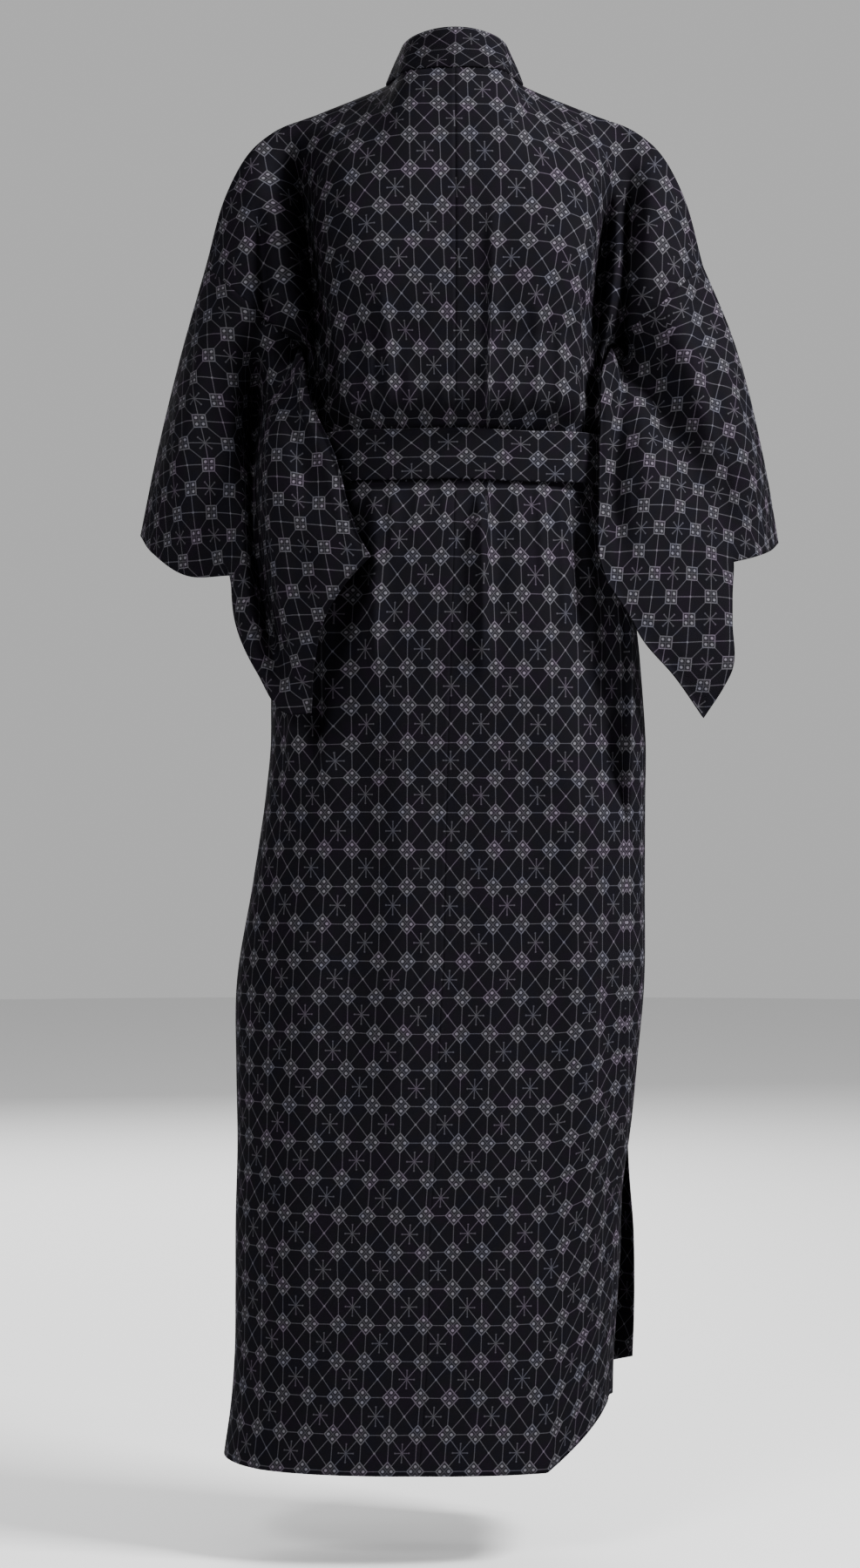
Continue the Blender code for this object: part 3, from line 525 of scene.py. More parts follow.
def cotton(name, ground, ink_colour, shift=(0.0, 0.0)):
    """Matt plain-weave cotton with the printed lattice, laid by the piece's UV map.

    shift sets the print on the cut piece, in metres.
    """
    material = bpy.data.materials.new(name)
    material.use_nodes = True
    tree = material.node_tree
    shader = tree.nodes["Principled BSDF"]
    shader.inputs["Roughness"].default_value = 0.86
    shader.inputs["Specular IOR Level"].default_value = 0.015
    places = node(tree, "UVMap", uv_map="cloth").outputs[0]
    laid = node(tree, "Mapping", places, (shift[0] - WANDER / 2, shift[1] - WANDER / 2, 0.0)).outputs[0]

    def noise(scale, detail=2.0):
        """A noise node laid on the cut cloth."""
        return node(tree, "TexNoise", laid, None, scale, detail)

    moved = node(tree, "VectorMath", noise(9.0, 1.0).outputs["Color"], (WANDER, WANDER, 0.0), laid,
                 operation="MULTIPLY_ADD").outputs[0]
    u, v, _ = node(tree, "SeparateXYZ", moved).outputs
    worn = value(tree, "MULTIPLY_ADD", noise(1300.0, 1.0).outputs[0], 1.3, 0.25, clamp=True)
    ink = value(tree, "MULTIPLY", lattice(tree, u, v), worn)
    tint = node(tree, "ValToRGB", noise(34.0).outputs[0])
    stops = tint.color_ramp.elements
    stops.new(0.5)
    for stop, (place, cast) in zip(stops, CASTS):
        stop.position, stop.color = place, (*cast, 1)
    printed = mixed(tree, ink, (*ground, 1), (*ink_colour, 1))
    toned = mixed(tree, 1.0, printed, tint.outputs[0], blend_type="MULTIPLY")
    tree.links.new(toned, shader.inputs["Base Color"])
    # plain weave and slubs as fine relief
    warp, weft = (value(tree, "SINE", value(tree, "MULTIPLY", way, 2 * np.pi / YARN)) for way in (u, v))
    weave = value(tree, "MULTIPLY", warp, weft)
    relief = value(tree, "MULTIPLY_ADD", noise(420.0, 3.0).outputs[0], 1.6, weave)
    bump = tree.nodes.new("ShaderNodeBump")
    bump.inputs["Strength"].default_value = 0.35
    bump.inputs["Distance"].default_value = 0.00025
    tree.links.new(relief, bump.inputs["Height"])
    tree.links.new(bump.outputs[0], shader.inputs["Normal"])
    return material


GROUND = (0.0045, 0.0041, 0.0055)
INK = (0.103, 0.098, 0.112)

body_cotton = cotton("body_cotton", GROUND, INK)

# Creases seen from behind and from the front: ends (across, height), bow, half width,
# depth outward, lean. Troughs are negative.
BACK_CREASES = (
    (0.128, -0.230, 0.112, -0.372, 0.004, 0.0080, -0.0060, 0.3),
    (0.122, -0.470, 0.134, -0.760, 0.006, 0.0120, -0.0180, 0.3),
    (-0.036, -0.130, -0.030, -0.372, 0.004, 0.0050, -0.0050, 0.5),
    (-0.030, -0.290, -0.028, -0.372, 0.000, 0.0045, -0.0060, 0.4),
    (-0.022, -0.430, -0.026, -0.640, 0.003, 0.0060, -0.0110, 0.6),
    (-0.010, -0.425, -0.012, -0.590, 0.002, 0.0120, 0.0035, 0.0),
    (-0.040, -0.425, -0.044, -0.600, 0.002, 0.0100, 0.0035, 0.0),
    (-0.080, -0.230, -0.082, -0.370, 0.003, 0.0050, -0.0030, 0.3),
    (0.078, -0.220, 0.070, -0.372, 0.004, 0.0055, -0.0050, 0.5),
    (0.092, -0.240, 0.086, -0.372, 0.003, 0.0055, -0.0050, -0.4),
    (0.104, -0.260, 0.100, -0.372, -0.003, 0.0050, -0.0040, 0.3),
    (0.050, -0.300, 0.048, -0.374, 0.002, 0.0050, -0.0020, 0.0),
    (0.015, -0.320, 0.014, -0.374, 0.002, 0.0060, -0.0018, 0.0),
    (-0.060, -0.320, -0.058, -0.374, 0.002, 0.0055, -0.0022, 0.0),
    (-0.105, -0.250, -0.104, -0.372, 0.003, 0.0060, -0.0040, 0.4),
    (-0.122, -0.220, -0.120, -0.372, 0.003, 0.0070, -0.0045, -0.3),
    (0.088, -0.426, 0.084, -0.640, 0.004, 0.0070, -0.0080, 0.4),
    (0.106, -0.426, 0.112, -0.560, 0.004, 0.0060, -0.0050, 0.4),
    (0.066, -0.426, 0.066, -0.520, 0.002, 0.0050, -0.0030, 0.2),
    (0.040, -0.426, 0.042, -0.490, 0.002, 0.0050, -0.0022, 0.0),
    (0.012, -0.426, 0.012, -0.480, 0.001, 0.0050, -0.0020, 0.0),
    (-0.062, -0.426, -0.066, -0.500, 0.001, 0.0050, -0.0024, 0.0),
    (-0.084, -0.426, -0.088, -0.540, 0.002, 0.0055, -0.0040, 0.3),
    (-0.104, -0.426, -0.112, -0.600, 0.003, 0.0065, -0.0060, 0.4),
    (-0.126, -0.430, -0.142, -0.640, 0.004, 0.0080, -0.0070, 0.4),
    (0.130, -0.430, 0.150, -0.690, 0.006, 0.0100, -0.0090, 0.4),
    (0.155, -0.450, 0.172, -0.760, 0.006, 0.0110, -0.0080, 0.3),
    (0.032, -0.860, 0.036, -0.960, 0.004, 0.0070, -0.0018, 0.2),
    (0.100, -0.600, 0.128, -1.120, 0.012, 0.0260, 0.0040, 0.0),
    (0.060, -0.620, 0.070, -1.260, 0.010, 0.0240, -0.0028, 0.2),
    (-0.080, -0.620, -0.086, -1.200, -0.010, 0.0300, 0.0032, 0.0),
    (-0.128, -0.600, -0.138, -1.260, -0.006, 0.0220, -0.0034, 0.2),
    (0.000, -0.700, 0.012, -1.360, 0.008, 0.0300, 0.0022, 0.0),
    (0.165, -0.780, 0.178, -1.400, 0.006, 0.0240, -0.0040, 0.2),
    (-0.160, -0.900, -0.158, -1.330, 0.006, 0.0160, 0.0030, 0.3),
)
# Deep folds of the back: ends, bow, half width, depth, and how far the lip is drawn over.
BACK_TUCKS = (
    (0.163, -0.030, 0.130, -0.410, -0.004, 0.0210, 0.0760, 0.0090),
    (0.207, -0.120, 0.197, -0.330, 0.000, 0.0075, 0.0220, 0.0020),
    (0.098, -0.430, 0.138, -0.740, 0.000, 0.0170, 0.0480, 0.0000),
    (-0.160, -0.085, -0.134, -0.400, 0.004, 0.0100, 0.0400, -0.0020),
    (-0.192, -0.085, -0.166, -0.340, 0.004, 0.0105, 0.0480, -0.0050),
    (-0.128, -0.400, -0.176, -0.800, 0.000, 0.0300, 0.0360, 0.0000),
)
FRONT_CREASES = (
    (0.110, -0.200, 0.096, -0.372, 0.004, 0.0065, -0.0050, 0.4),
    (0.128, -0.230, 0.118, -0.372, 0.003, 0.0060, -0.0045, -0.3),
    (0.080, -0.260, 0.074, -0.372, 0.003, 0.0055, -0.0035, 0.3),
    (-0.112, -0.210, -0.098, -0.372, -0.004, 0.0065, -0.0050, 0.4),
    (-0.130, -0.240, -0.122, -0.372, -0.003, 0.0060, -0.0040, -0.3),
    (0.070, -0.426, 0.076, -0.590, 0.003, 0.0065, -0.0050, 0.4),
    (0.096, -0.426, 0.110, -0.640, 0.004, 0.0070, -0.0060, 0.3),
    (0.124, -0.430, 0.142, -0.690, 0.004, 0.0085, -0.0070, 0.3),
    (-0.126, -0.430, -0.142, -0.640, 0.004, 0.0080, -0.0040, 0.3),
    (0.040, -0.640, 0.056, -1.300, 0.010, 0.0280, -0.0030, 0.0),
    (0.110, -0.620, 0.128, -1.340, 0.008, 0.0260, 0.0030, 0.0),
)
SEAM_RIDGE = (0.0009, 0.0035)     # height and half width of the side seam's turned edge
# Where the print lies on the worn back. Heights of the rows of lozenges at the centre back,
# by row number; how far the column nearest the centre lies from the seam at each height;
# and how much cloth the pleat beside the centre takes up.
PRINT_ROWS = ((-1.5, 0.0154), (0, -0.0352), (1, -0.0689), (2, -0.1081), (3, -0.1466), (4, -0.1831),
              (5, -0.2197), (6, -0.2565), (7, -0.2947), (8, -0.3290), (9, -0.3634), (11, -0.4360),
              (12, -0.4707), (13, -0.5068), (14, -0.5452), (18, -0.6986), (20, -0.7695), (23, -0.8838),
              (27, -1.0335), (37, -1.4057), (39, -1.4800))
PRINT_DRIFT = ((0.0, -0.0132), (-0.070, -0.0132), (-0.147, -0.0160), (-0.256, -0.0140),
               (-0.500, -0.0132), (-0.770, -0.0201), (-1.034, -0.0228), (-1.450, -0.0267))
PLEAT_AT = -0.033
PLEAT_TAKES = ((-0.130, 0.0), (-0.256, 0.0125), (-0.295, 0.0140), (-0.364, 0.0195), (-0.437, 0.0185),
               (-0.470, 0.0110), (-0.507, 0.0070), (-0.545, 0.0035), (-0.600, 0.0))


def charted(table, height, key=0, at=1):
    """A column of a short table, read at heights that fall from row to row."""
    rows = np.array(table, float)
    return np.interp(-height, -rows[:, at], rows[:, key])


FRONT_PIN = 0.45         # the thread of the front that hangs straight, in shares of its width
SIDE_FROM, SIDE_OVER = 0.40, 0.30    # where the rows of the back begin to follow its side
UNDER_CREASES = 0.3      # the under front is creased less


def cloth_places(side, back, front):
    """Weft and warp metres on the cut panel at each point of the two grids.

    Above the belt the cloth is laid flat from the centre back outwards, below it the weft
    runs level. It is carried round the side seam and back on the same threads. The rows
    are then set by the heights charted at the centre back.
    """
    sign = 1 if side == "left" else -1
    belt_row = SHOULDER_ROWS + int(np.searchsorted(-body_heights(), -BELT_MIDDLE))
    centre = back[:, :1, 2]
    chart = -PITCH_WARP * charted(PRINT_ROWS, centre)
    weft_back = running(back, 1)
    warp_back = np.repeat(chart, back.shape[1], axis=1)
    upper = laid_flat(back[:belt_row], 0, True)
    weft_back[:belt_row] = upper[..., 1]
    side_share = ease((np.linspace(0, 1, back.shape[1]) - SIDE_FROM) / SIDE_OVER)[None, :]
    warp_back[:belt_row] -= (upper[..., 0] - upper[:, :1, 0]) * side_share
    weft_front = weft_back[:, -1:] - (running(front, 1)[:, -1:] - running(front, 1))
    warp_front = np.repeat(chart, front.shape[1], axis=1)
    pin = int(FRONT_PIN * front.shape[1])
    upper = laid_flat(front[:belt_row], pin, True)
    weft_front[:belt_row] = upper[..., 1] + weft_back[0, pin - front.shape[1]]
    warp_front[:belt_row] = -upper[..., 0] + chart[belt_row, 0] + upper[-1:, pin:pin + 1, 0]
    flats = [np.stack([sign * weft, warp], axis=-1)
             for weft, warp in ((weft_back, warp_back), (weft_front, warp_front))]
    return flats


def print_places(grid, flat):
    """The print's own places: the cloth places with the charted drift and pleat."""
    height = grid[:, :1, 2]
    centre = charted(PRINT_DRIFT, height, key=1, at=0)
    taken = charted(PLEAT_TAKES, height, key=1, at=0) / 2
    beside = np.tanh((grid[..., 0] - PLEAT_AT) / 0.0015)
    printed = flat.copy()
    printed[..., 0] += taken * beside - centre
    return printed


def crease_cloth(grid, table):
    """Outward push of the creases, pressed flat under the belt."""
    push = creases(grid[..., 0], grid[..., 2], table)
    in_belt = ease(1 - (abs(grid[..., 2] - BELT_MIDDLE) - BELT_HALF + 0.001) / 0.008)
    return push * (1 - in_belt)


def body_panels(side):
    """Back and front grids with their creases, their cloth places and which way they face."""
    flip = side == "left"
    back, front = body_length(side)
    flat_back, flat_front = cloth_places(side, back, front)
    # the creases of both faces fade out at the side seam and at the centre back
    share_back = np.linspace(0, 1, back.shape[1])[None, :]
    share_front = np.linspace(0, 1, front.shape[1])[None, :]
    rows = np.arange(len(back))[:, None] / SHOULDER_ROWS
    at_fold = ease(rows * 3)
    push_back = crease_cloth(back, BACK_CREASES) * ease((1 - share_back) * 12) * at_fold
    push_front = crease_cloth(front, FRONT_CREASES) * ease((1 - share_front) * 12) * at_fold
    gap = np.zeros(len(front))
    section = sections(body_heights())
    gap[SHOULDER_ROWS:] = section["edge_" + side] - section["gore_" + side]
    free = ease((COLLAR_END - front[:, 0, 2]) / 0.04)
    push_front *= ease((running(front, 1) + gap[:, None]) / 0.03 + free[:, None])
    if side == "right":
        push_front = push_front * UNDER_CREASES
    rise, half = SEAM_RIDGE
    from_side = flat_back[:, -1:, 0] - flat_back[..., 0]
    push_back = push_back + rise * np.exp(-((abs(from_side) - half) / half)**2) * (rows > 1)
    deep = tucks(back, BACK_TUCKS) * ease(rows * 5)[..., None]
    back = back + push_back[..., None] * outward(back, not flip) + deep
    front = front + push_front[..., None] * outward(front, flip)
    front[0] = back[0, -front.shape[1]:]
    front[SHOULDER_ROWS:, -1] = back[SHOULDER_ROWS:, -1]
    return back, front, flat_back, flat_front, flip


BODY = {}
for side in ("left", "right"):
    back, front, flat_back, flat_front, flip = body_panels(side)
    BODY[side] = (back, front, flat_back, flat_front)
    panel = sew("robe_body_" + side, [(back, print_places(back, flat_back), flip),
                                      (front, print_places(front, flat_front), not flip)],
                body_cotton)
    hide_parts("body_" + side)
    length = float(running(back[:, :1], 0)[-1, 0])

# The front overlaps. Each front is widened by a narrower strip sewn down its edge, which
# slants out under the collar band and runs free, turned and hemmed, from there to the hem.
GORE_COLUMNS = 24
EDGE_COLUMNS = 14


def from_collar(side, heights, place):
    """Cloth metres from the collar's seam; below the collar's end nothing holds the edge."""
    sewn = marks(sections(heights), side)
    held = ease((heights - COLLAR_END + 0.03) / 0.05)[:, None]
    return abs(sewn["edge"][:, None] - place) * held + (1 - held)


for side in ("left", "right"):
    flip = side == "left"
    heights = body_heights()
    upper, place = strip(side, "gore", "edge", GORE_COLUMNS, heights)
    lower, lower_place = strip(side, "edge", "free", EDGE_COLUMNS, heights[COLLAR_ROWS:])
    grids = []
    for grid, at, rows in ((upper, place, heights), (lower, lower_place, heights[COLLAR_ROWS:])):
        push = crease_cloth(grid, FRONT_CREASES) * ease(from_collar(side, rows, at) / 0.03)
        if side == "right":
            push = push * UNDER_CREASES
        grid = grid + push[..., None] * outward(grid, not flip)
        flat = np.stack([at - place[:, :1].mean(), grid[..., 2]], axis=-1)
        grids.append((grid, flat, flip))
    overlap = sew("robe_overlap_" + side, grids, body_cotton)
    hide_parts("overlap_" + side)

# The collar. A straight strip of the same cotton, folded lengthwise over the raw neck edge
# into a band of even width: round the neck, where it stands, and down both fronts.
COLLAR_EDGE = {"half_width": 0.054, "side_y": -0.002, "back_y": 0.060,
               "back_z": 0.049, "side_z": 0.042, "mid": (-0.013, -0.104, -0.130)}
# across the band from its seam, and how far out of the body's face; then back underneath
COLLAR_SECTION = ((0.000, -0.0003), (0.006, 0.0006), (0.020, 0.0013), (0.06, 0.0016), (0.15, 0.0017),
                  (0.30, 0.0019), (0.45, 0.0021), (0.60, 0.0021), (0.75, 0.0019), (0.88, 0.0016),
                  (0.96, 0.0012), (0.990, 0.0006), (1.000, -0.0001), (0.992, -0.0009), (0.96, -0.0013),
                  (0.80, -0.0014), (0.40, -0.0014), (0.05, -0.0013))
COLLAR_FACE = 13         # how many of these lie on the outer face


def collar_rows(side):
    """Points across the band in each row, from the centre back down one front."""
    back, front, _, _ = BODY[side]
    mirror = np.array([1 if side == "left" else -1, 1, 1])
    across = np.array([place for place, _ in COLLAR_SECTION])
    first = int(NECK_SHARE * BACK_COLUMNS)
    turn = np.arange(first + 1) / first * np.pi / 2
    edge = np.stack([COLLAR_EDGE["half_width"] * np.sin(turn),
                     COLLAR_EDGE["side_y"] + (COLLAR_EDGE["back_y"] - COLLAR_EDGE["side_y"]) * np.cos(turn),
                     COLLAR_EDGE["side_z"]
                     + (COLLAR_EDGE["back_z"] - COLLAR_EDGE["side_z"]) * np.cos(turn)**2], axis=1) * mirror
    neck = back[0, :first + 1, None] * (1 - across[None, :, None]) + edge[:, None] * across[None, :, None]
    heights = body_heights()[:COLLAR_ROWS + 1]
    sewn = marks(sections(heights), side)
    place = sewn["edge"][:, None] + COLLAR_WIDTH * across[None, :]
    level = draped(heights, side, place)
    t = (np.arange(1, SHOULDER_ROWS) / SHOULDER_ROWS)[:, None]
    lap = LAP_OUT if side == "left" else LAP_IN
    mid = np.array(COLLAR_EDGE["mid"]) * mirror - np.array([0, lap, 0])
    end = draped(heights[:1], side, sewn["free"][:1, None])[0, 0]
    free = between(edge[-1], mid, end, t)
    seam = front[1:SHOULDER_ROWS, 0]
    chest = seam[:, None] * (1 - across[None, :, None]) + free[:, None] * across[None, :, None]
    straight = level[0, 0] + (end - level[0, 0]) * across[:, None]
    chest = chest + (level[0] - straight)[None] * ease(t)[..., None]
    return np.concatenate([neck, chest, level])


left, right = collar_rows("left"), collar_rows("right")
band = np.concatenate([left[::-1], right[1:]])
profile = np.array([out for _, out in COLLAR_SECTION])
face = band[:, :COLLAR_FACE]
normal = outward(face, False)
normal = np.concatenate([normal, np.repeat(normal[:, -1:], band.shape[1] - COLLAR_FACE, axis=1)], axis=1)
middle = running(face, 0)[:, :1]
middle = middle - middle[len(left) - 1]
tension = 0.0006 * np.sin(middle / 0.041) * np.sin(middle / 0.097 + 1.0)
across = np.array([place for place, _ in COLLAR_SECTION])
bulge = profile[None, :] + tension * np.sin(np.pi * across)[None, :]
points = band + bulge[..., None] * normal
round_edge = np.where(np.arange(band.shape[1]) >= COLLAR_FACE, 2 - across, across) * COLLAR_WIDTH
flat = np.stack([np.repeat(round_edge[None, :], len(band), axis=0),
                 np.repeat(middle, band.shape[1], axis=1)], axis=-1)
collar_cotton = cotton("collar_cotton", GROUND, INK, shift=(0.004, 0.0))
collar = sew("robe_collar", [(points, flat, False)], collar_cotton, thickness=0.0)
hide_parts("collar")

# The sleeves. Each is one oblong of cotton folded at the top into a bag: sewn to the body at
# the armhole, closed below it, along the bottom and up to the wrist, and open at the wrist.
SEWN_ROWS = 36
SLEEVE_ALONG = 60
SEW_STEP = 0.0100        # thickness of the flattened bag
SEAM_CLOSE = 0.0038      # how far each layer draws in at its sewn edges
SLEEVE_PUFF = 0.0160
ARMPIT_CLEAR = 0.0005
ARMPIT_DROP = 0.4
ARMPIT_OPEN = 0.60
SMOOTHING = 72
CURVE_POINTS = 400       # points by which an edge curve is measured
SLEEVES = {
    "left": {
        "facing": (0.55, 0.83, 0.0),
        "fold": ((0.292, -0.013, -0.288), (0.3195, -0.022, -0.399), (0.336, -0.035, -0.4745)),
        "inner": ((0.162, 0.048, -0.289), (0.156, 0.068, -0.304), (0.154, 0.080, -0.328),
                  (0.125, 0.114, -0.400), (0.095, 0.138, -0.495)),
        "bottom": ((0.0870, 0.141, -0.508), (0.110, 0.139, -0.5325), (0.134, 0.132, -0.571),
                   (0.143, 0.124, -0.6055), (0.1485, 0.109, -0.667)),
        "cuff_back": ((0.320, 0.005, -0.4956), (0.276, 0.038, -0.523)),
        "cuff_front": ((0.325, -0.070, -0.484), (0.284, -0.078, -0.505)),
        "cuff_sewn": ((0.2326, 0.032, -0.5215), (0.2310, 0.052, -0.562), (0.205, 0.082, -0.625),
                      (0.171, 0.100, -0.668)),
    },
    "right": {
        "facing": (-0.30, 0.95, 0.0),
        "fold": ((-0.294, -0.013, -0.260), (-0.331, -0.022, -0.399), (-0.347, -0.035, -0.482)),
        "inner": ((-0.161, 0.048, -0.290), (-0.155, 0.060, -0.304), (-0.151, 0.064, -0.370),
                  (-0.149, 0.078, -0.440), (-0.151, 0.096, -0.515)),
        "bottom": ((-0.1570, 0.100, -0.5326), (-0.181, 0.094, -0.5686), (-0.192, 0.089, -0.588),
                   (-0.229, 0.070, -0.6295), (-0.2595, 0.051, -0.6705)),
        "cuff_back": ((-0.333, 0.008, -0.494), (-0.308, 0.044, -0.504)),
        "cuff_front": ((-0.333, -0.070, -0.484), (-0.300, -0.066, -0.495)),
        "cuff_sewn": ((-0.2900, 0.043, -0.508), (-0.2895, 0.050, -0.570), (-0.2885, 0.054, -0.622),
                      (-0.281, 0.054, -0.637)),
    },
}
# Creases of each layer, as for the body, seen from behind (back) or from the front.
SLEEVE_CREASES = {
    "left back": (
        (0.232, -0.240, 0.262, -0.520, 0.006, 0.0220, 0.0060, 0.0),
        (0.190, -0.300, 0.150, -0.470, 0.010, 0.0130, 0.0060, 0.3),
        (0.170, -0.330, 0.112, -0.480, 0.008, 0.0070, -0.0040, 0.3),
        (0.262, -0.260, 0.296, -0.440, 0.004, 0.0080, -0.0030, 0.3),
        (0.160, -0.470, 0.176, -0.640, 0.008, 0.0160, 0.0040, 0.0),
    ),
    "right back": (
        (-0.250, -0.190, -0.290, -0.500, 0.008, 0.0200, 0.0100, 0.2),
        (-0.268, -0.240, -0.320, -0.470, 0.004, 0.0110, -0.0050, 0.3),
        (-0.200, -0.300, -0.198, -0.560, -0.008, 0.0160, -0.0045, 0.2),
        (-0.235, -0.330, -0.250, -0.620, 0.006, 0.0180, 0.0030, 0.0),
        (-0.182, -0.330, -0.186, -0.480, 0.003, 0.0060, 0.0030, 0.3),
    ),
    "left front": (
        (0.210, -0.260, 0.200, -0.560, 0.010, 0.0120, -0.0060, 0.3),
        (0.250, -0.250, 0.270, -0.500, -0.006, 0.0160, 0.0040, 0.2),
    ),
    "right front": (
        (-0.215, -0.260, -0.215, -0.560, 0.010, 0.0120, -0.0060, 0.3),
        (-0.262, -0.250, -0.286, -0.500, -0.006, 0.0160, 0.0040, 0.2),
    ),
}
# Deep folds through both layers, as for the body's back.
SLEEVE_TUCKS = {
    "left": ((0.202, -0.240, 0.172, -0.660, -0.026, 0.0125, 0.0640, 0.0050),),
    "right": ((-0.172, -0.220, -0.160, -0.520, 0.000, 0.0160, 0.0180, 0.0000),),
}
# Three neighbouring lozenges on the back layer: one, the next along the weft, along the warp.
SLEEVE_PRINT = {
    "left": ((0.1661, -0.5433), (0.1778, -0.5712), (0.1358, -0.5580)),
    "right": ((-0.2057, -0.5228), (-0.2221, -0.5445), (-0.1758, -0.5473)),
}


def evenly(places, steps):
    """The smooth curve through places, cut into equal lengths: steps + 1 points."""
    places = np.asarray(places, float)
    reach = np.concatenate([[0], np.cumsum(np.linalg.norm(np.diff(places, axis=0), axis=1))])
    fine = through(reach, places, np.linspace(0, reach[-1], CURVE_POINTS))
    length = np.concatenate([[0], np.cumsum(np.linalg.norm(np.diff(fine, axis=0), axis=1))])
    return np.stack([np.interp(np.linspace(0, length[-1], steps + 1), length, fine[:, k])
                     for k in range(3)], axis=1)


def sleeve_layer(side, layer, armhole):
    """One layer of the bag: a patch spanned between its four edges, puffed at its middle.

    Rows run along the arm, columns down from the fold. Running means smooth the patch
    between the edges, and near its sewn edges the layer draws in to the seam.
    """
    edges = SLEEVES[side]
    step = SEW_STEP / 2 if layer == "back" else -SEW_STEP / 2
    facing = np.array(edges["facing"])
    shift = step * facing
    down_steps = SHOULDER_ROWS + SEWN_ROWS
    along = np.linspace(0, 1, SLEEVE_ALONG + 1)[:, None, None]
    down = np.linspace(0, 1, down_steps + 1)[None, :, None]
    opened = ARMPIT_OPEN + (1 - ARMPIT_OPEN) * ease(np.arange(SEWN_ROWS + 1) / 9)[:, None]
    fold = evenly((armhole[0],) + edges["fold"], SLEEVE_ALONG)
    armpit = armhole[-1] + ARMPIT_CLEAR * np.array([np.sign(facing[0]), 0, -ARMPIT_DROP])
    inner = evenly((armpit,) + edges["inner"] + edges["bottom"][:1], SEWN_ROWS) + opened * shift
    start = np.concatenate([armhole[:-1], inner])
    cuff = evenly(edges["cuff_sewn"] + edges["bottom"][-1:], SEWN_ROWS) + shift
    wrist = evenly(edges["fold"][-1:] + edges["cuff_" + layer] + (tuple(cuff[0]),), SHOULDER_ROWS)
    end = np.concatenate([wrist, cuff[1:]])
    bottom = evenly(edges["bottom"], SLEEVE_ALONG) + shift
    corners = ((1 - along) * (1 - down) * start[0] + (1 - along) * down * start[-1]
               + along * (1 - down) * end[0] + along * down * end[-1])
    puff = SLEEVE_PUFF * np.sign(step) * np.sin(np.pi * down) * np.sin(np.pi * along)
    raw = ((1 - along) * start[None] + along * end[None]
           + (1 - down) * fold[:, None] + down * bottom[:, None] - corners + puff * facing)
    smooth = raw.copy()
    for _ in range(SMOOTHING):
        smooth[:, 1:-1] = (smooth[:, :-2] + 2 * smooth[:, 1:-1] + smooth[:, 2:]) / 4
    patch = raw + (smooth - raw) * ease(10 * np.minimum(along, 1 - along))
    below = ease((down * down_steps - SHOULDER_ROWS) / 8)
    seam = np.maximum(1 - ease((1 - down) * 16), below * (1 - ease(np.minimum(along, 1 - along) * 14)))
    return patch - SEAM_CLOSE * np.sign(step) * seam * facing, seam[..., 0]


for side in ("left", "right"):
    back, front, _, _ = BODY[side]
    left_side = side == "left"
    layers = []
    for layer, grid in (("back", back), ("front", front)):
        patch, seam = sleeve_layer(side, layer, grid[:SHOULDER_ROWS + 1, -1])
        away = 1 if layer == "back" else -1
        normal = outward(patch, left_side if layer == "back" else not left_side)
        along = np.linspace(0, 1, SLEEVE_ALONG + 1)[:, None]
        down = np.linspace(0, 1, patch.shape[1])[None, :]
        push = creases(patch[..., 0], patch[..., 2], SLEEVE_CREASES[side + " " + layer])
        push = push * ease(along * 10) * ease(down * 14) * (1 - seam)
        deep = tucks(patch, SLEEVE_TUCKS[side]) * (ease(along * 8) * ease(down * 8))[..., None]
        layers.append(patch + push[..., None] * normal + deep)
    layers[1][:, 0] = layers[0][:, 0]
    whole = np.concatenate([layers[1][:, :0:-1], layers[0]], axis=1)
    last = layers[0].shape[1] - 1
    flat = laid_flat(whole, last, False)
    flat = registered(flat, flat[:, last:], layers[0], *SLEEVE_PRINT[side])
    flat_front, flat_back = flat[:, last::-1], flat[:, last:]
    seams = []
    for near, far in ((np.s_[:, -1], 1), (np.s_[0, SHOULDER_ROWS:], 1), (np.s_[-1, SHOULDER_ROWS:], -1)):
        ribbon = np.stack([layers[0][near], layers[1][near]], axis=1)
        places = np.stack([flat_back[near], flat_back[near]], axis=1)
        seams.append((ribbon, places, left_side if far == 1 else not left_side))
    sleeve = sew("robe_sleeve_" + side,
                 [(layers[0], flat_back, not left_side), (layers[1], flat_front, left_side)] + seams,
                 body_cotton)
    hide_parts("sleeve_" + side)

# The belt. The same cotton cut lengthwise, folded in four into a firm band, wound once
# round the waist over both fronts and tied in front.
BELT_WALL = 0.0030
BELT_CLEAR = 0.0010
BELT_OVERLAP = 0.27
BELT_EASE = 0.06
BELT_STEPS = 480
# down the outside of the band and round its two folded edges: share of the half height,
# and how far in from the outside
BELT_SECTION = ((0.955, 0.0030), (1.000, 0.0022), (1.012, 0.0013), (1.000, 0.0005), (0.970, 0.0001),
                (0.90, 0.0), (0.70, 0.0), (0.45, 0.0), (0.20, 0.0), (0.0, 0.0), (-0.20, 0.0), (-0.45, 0.0),
                (-0.70, 0.0), (-0.90, 0.0), (-0.970, 0.0001), (-1.000, 0.0005), (-1.012, 0.0013),
                (-1.000, 0.0022), (-0.955, 0.0030))
# small wrinkles: place round the band, height share, slant, half width, depth
BELT_WRINKLES = ((0.08, 0.3, 0.9, 0.0030, -0.0007), (0.13, -0.4, -0.7, 0.0035, -0.0008),
                 (0.20, 0.1, 0.8, 0.0030, -0.0010), (0.26, 0.5, -0.9, 0.0040, -0.0008),
                 (0.335, -0.2, 0.6, 0.0035, -0.0009), (0.40, 0.2, -0.5, 0.0040, -0.0007),
                 (0.49, 0.0, 0.8, 0.0030, -0.0010), (0.56, 0.4, 0.7, 0.0040, -0.0008),
                 (0.63, -0.5, -0.6, 0.0035, -0.0010), (0.70, 0.1, 0.9, 0.0030, -0.0009),
                 (0.765, -0.1, -0.8, 0.0035, -0.0007))

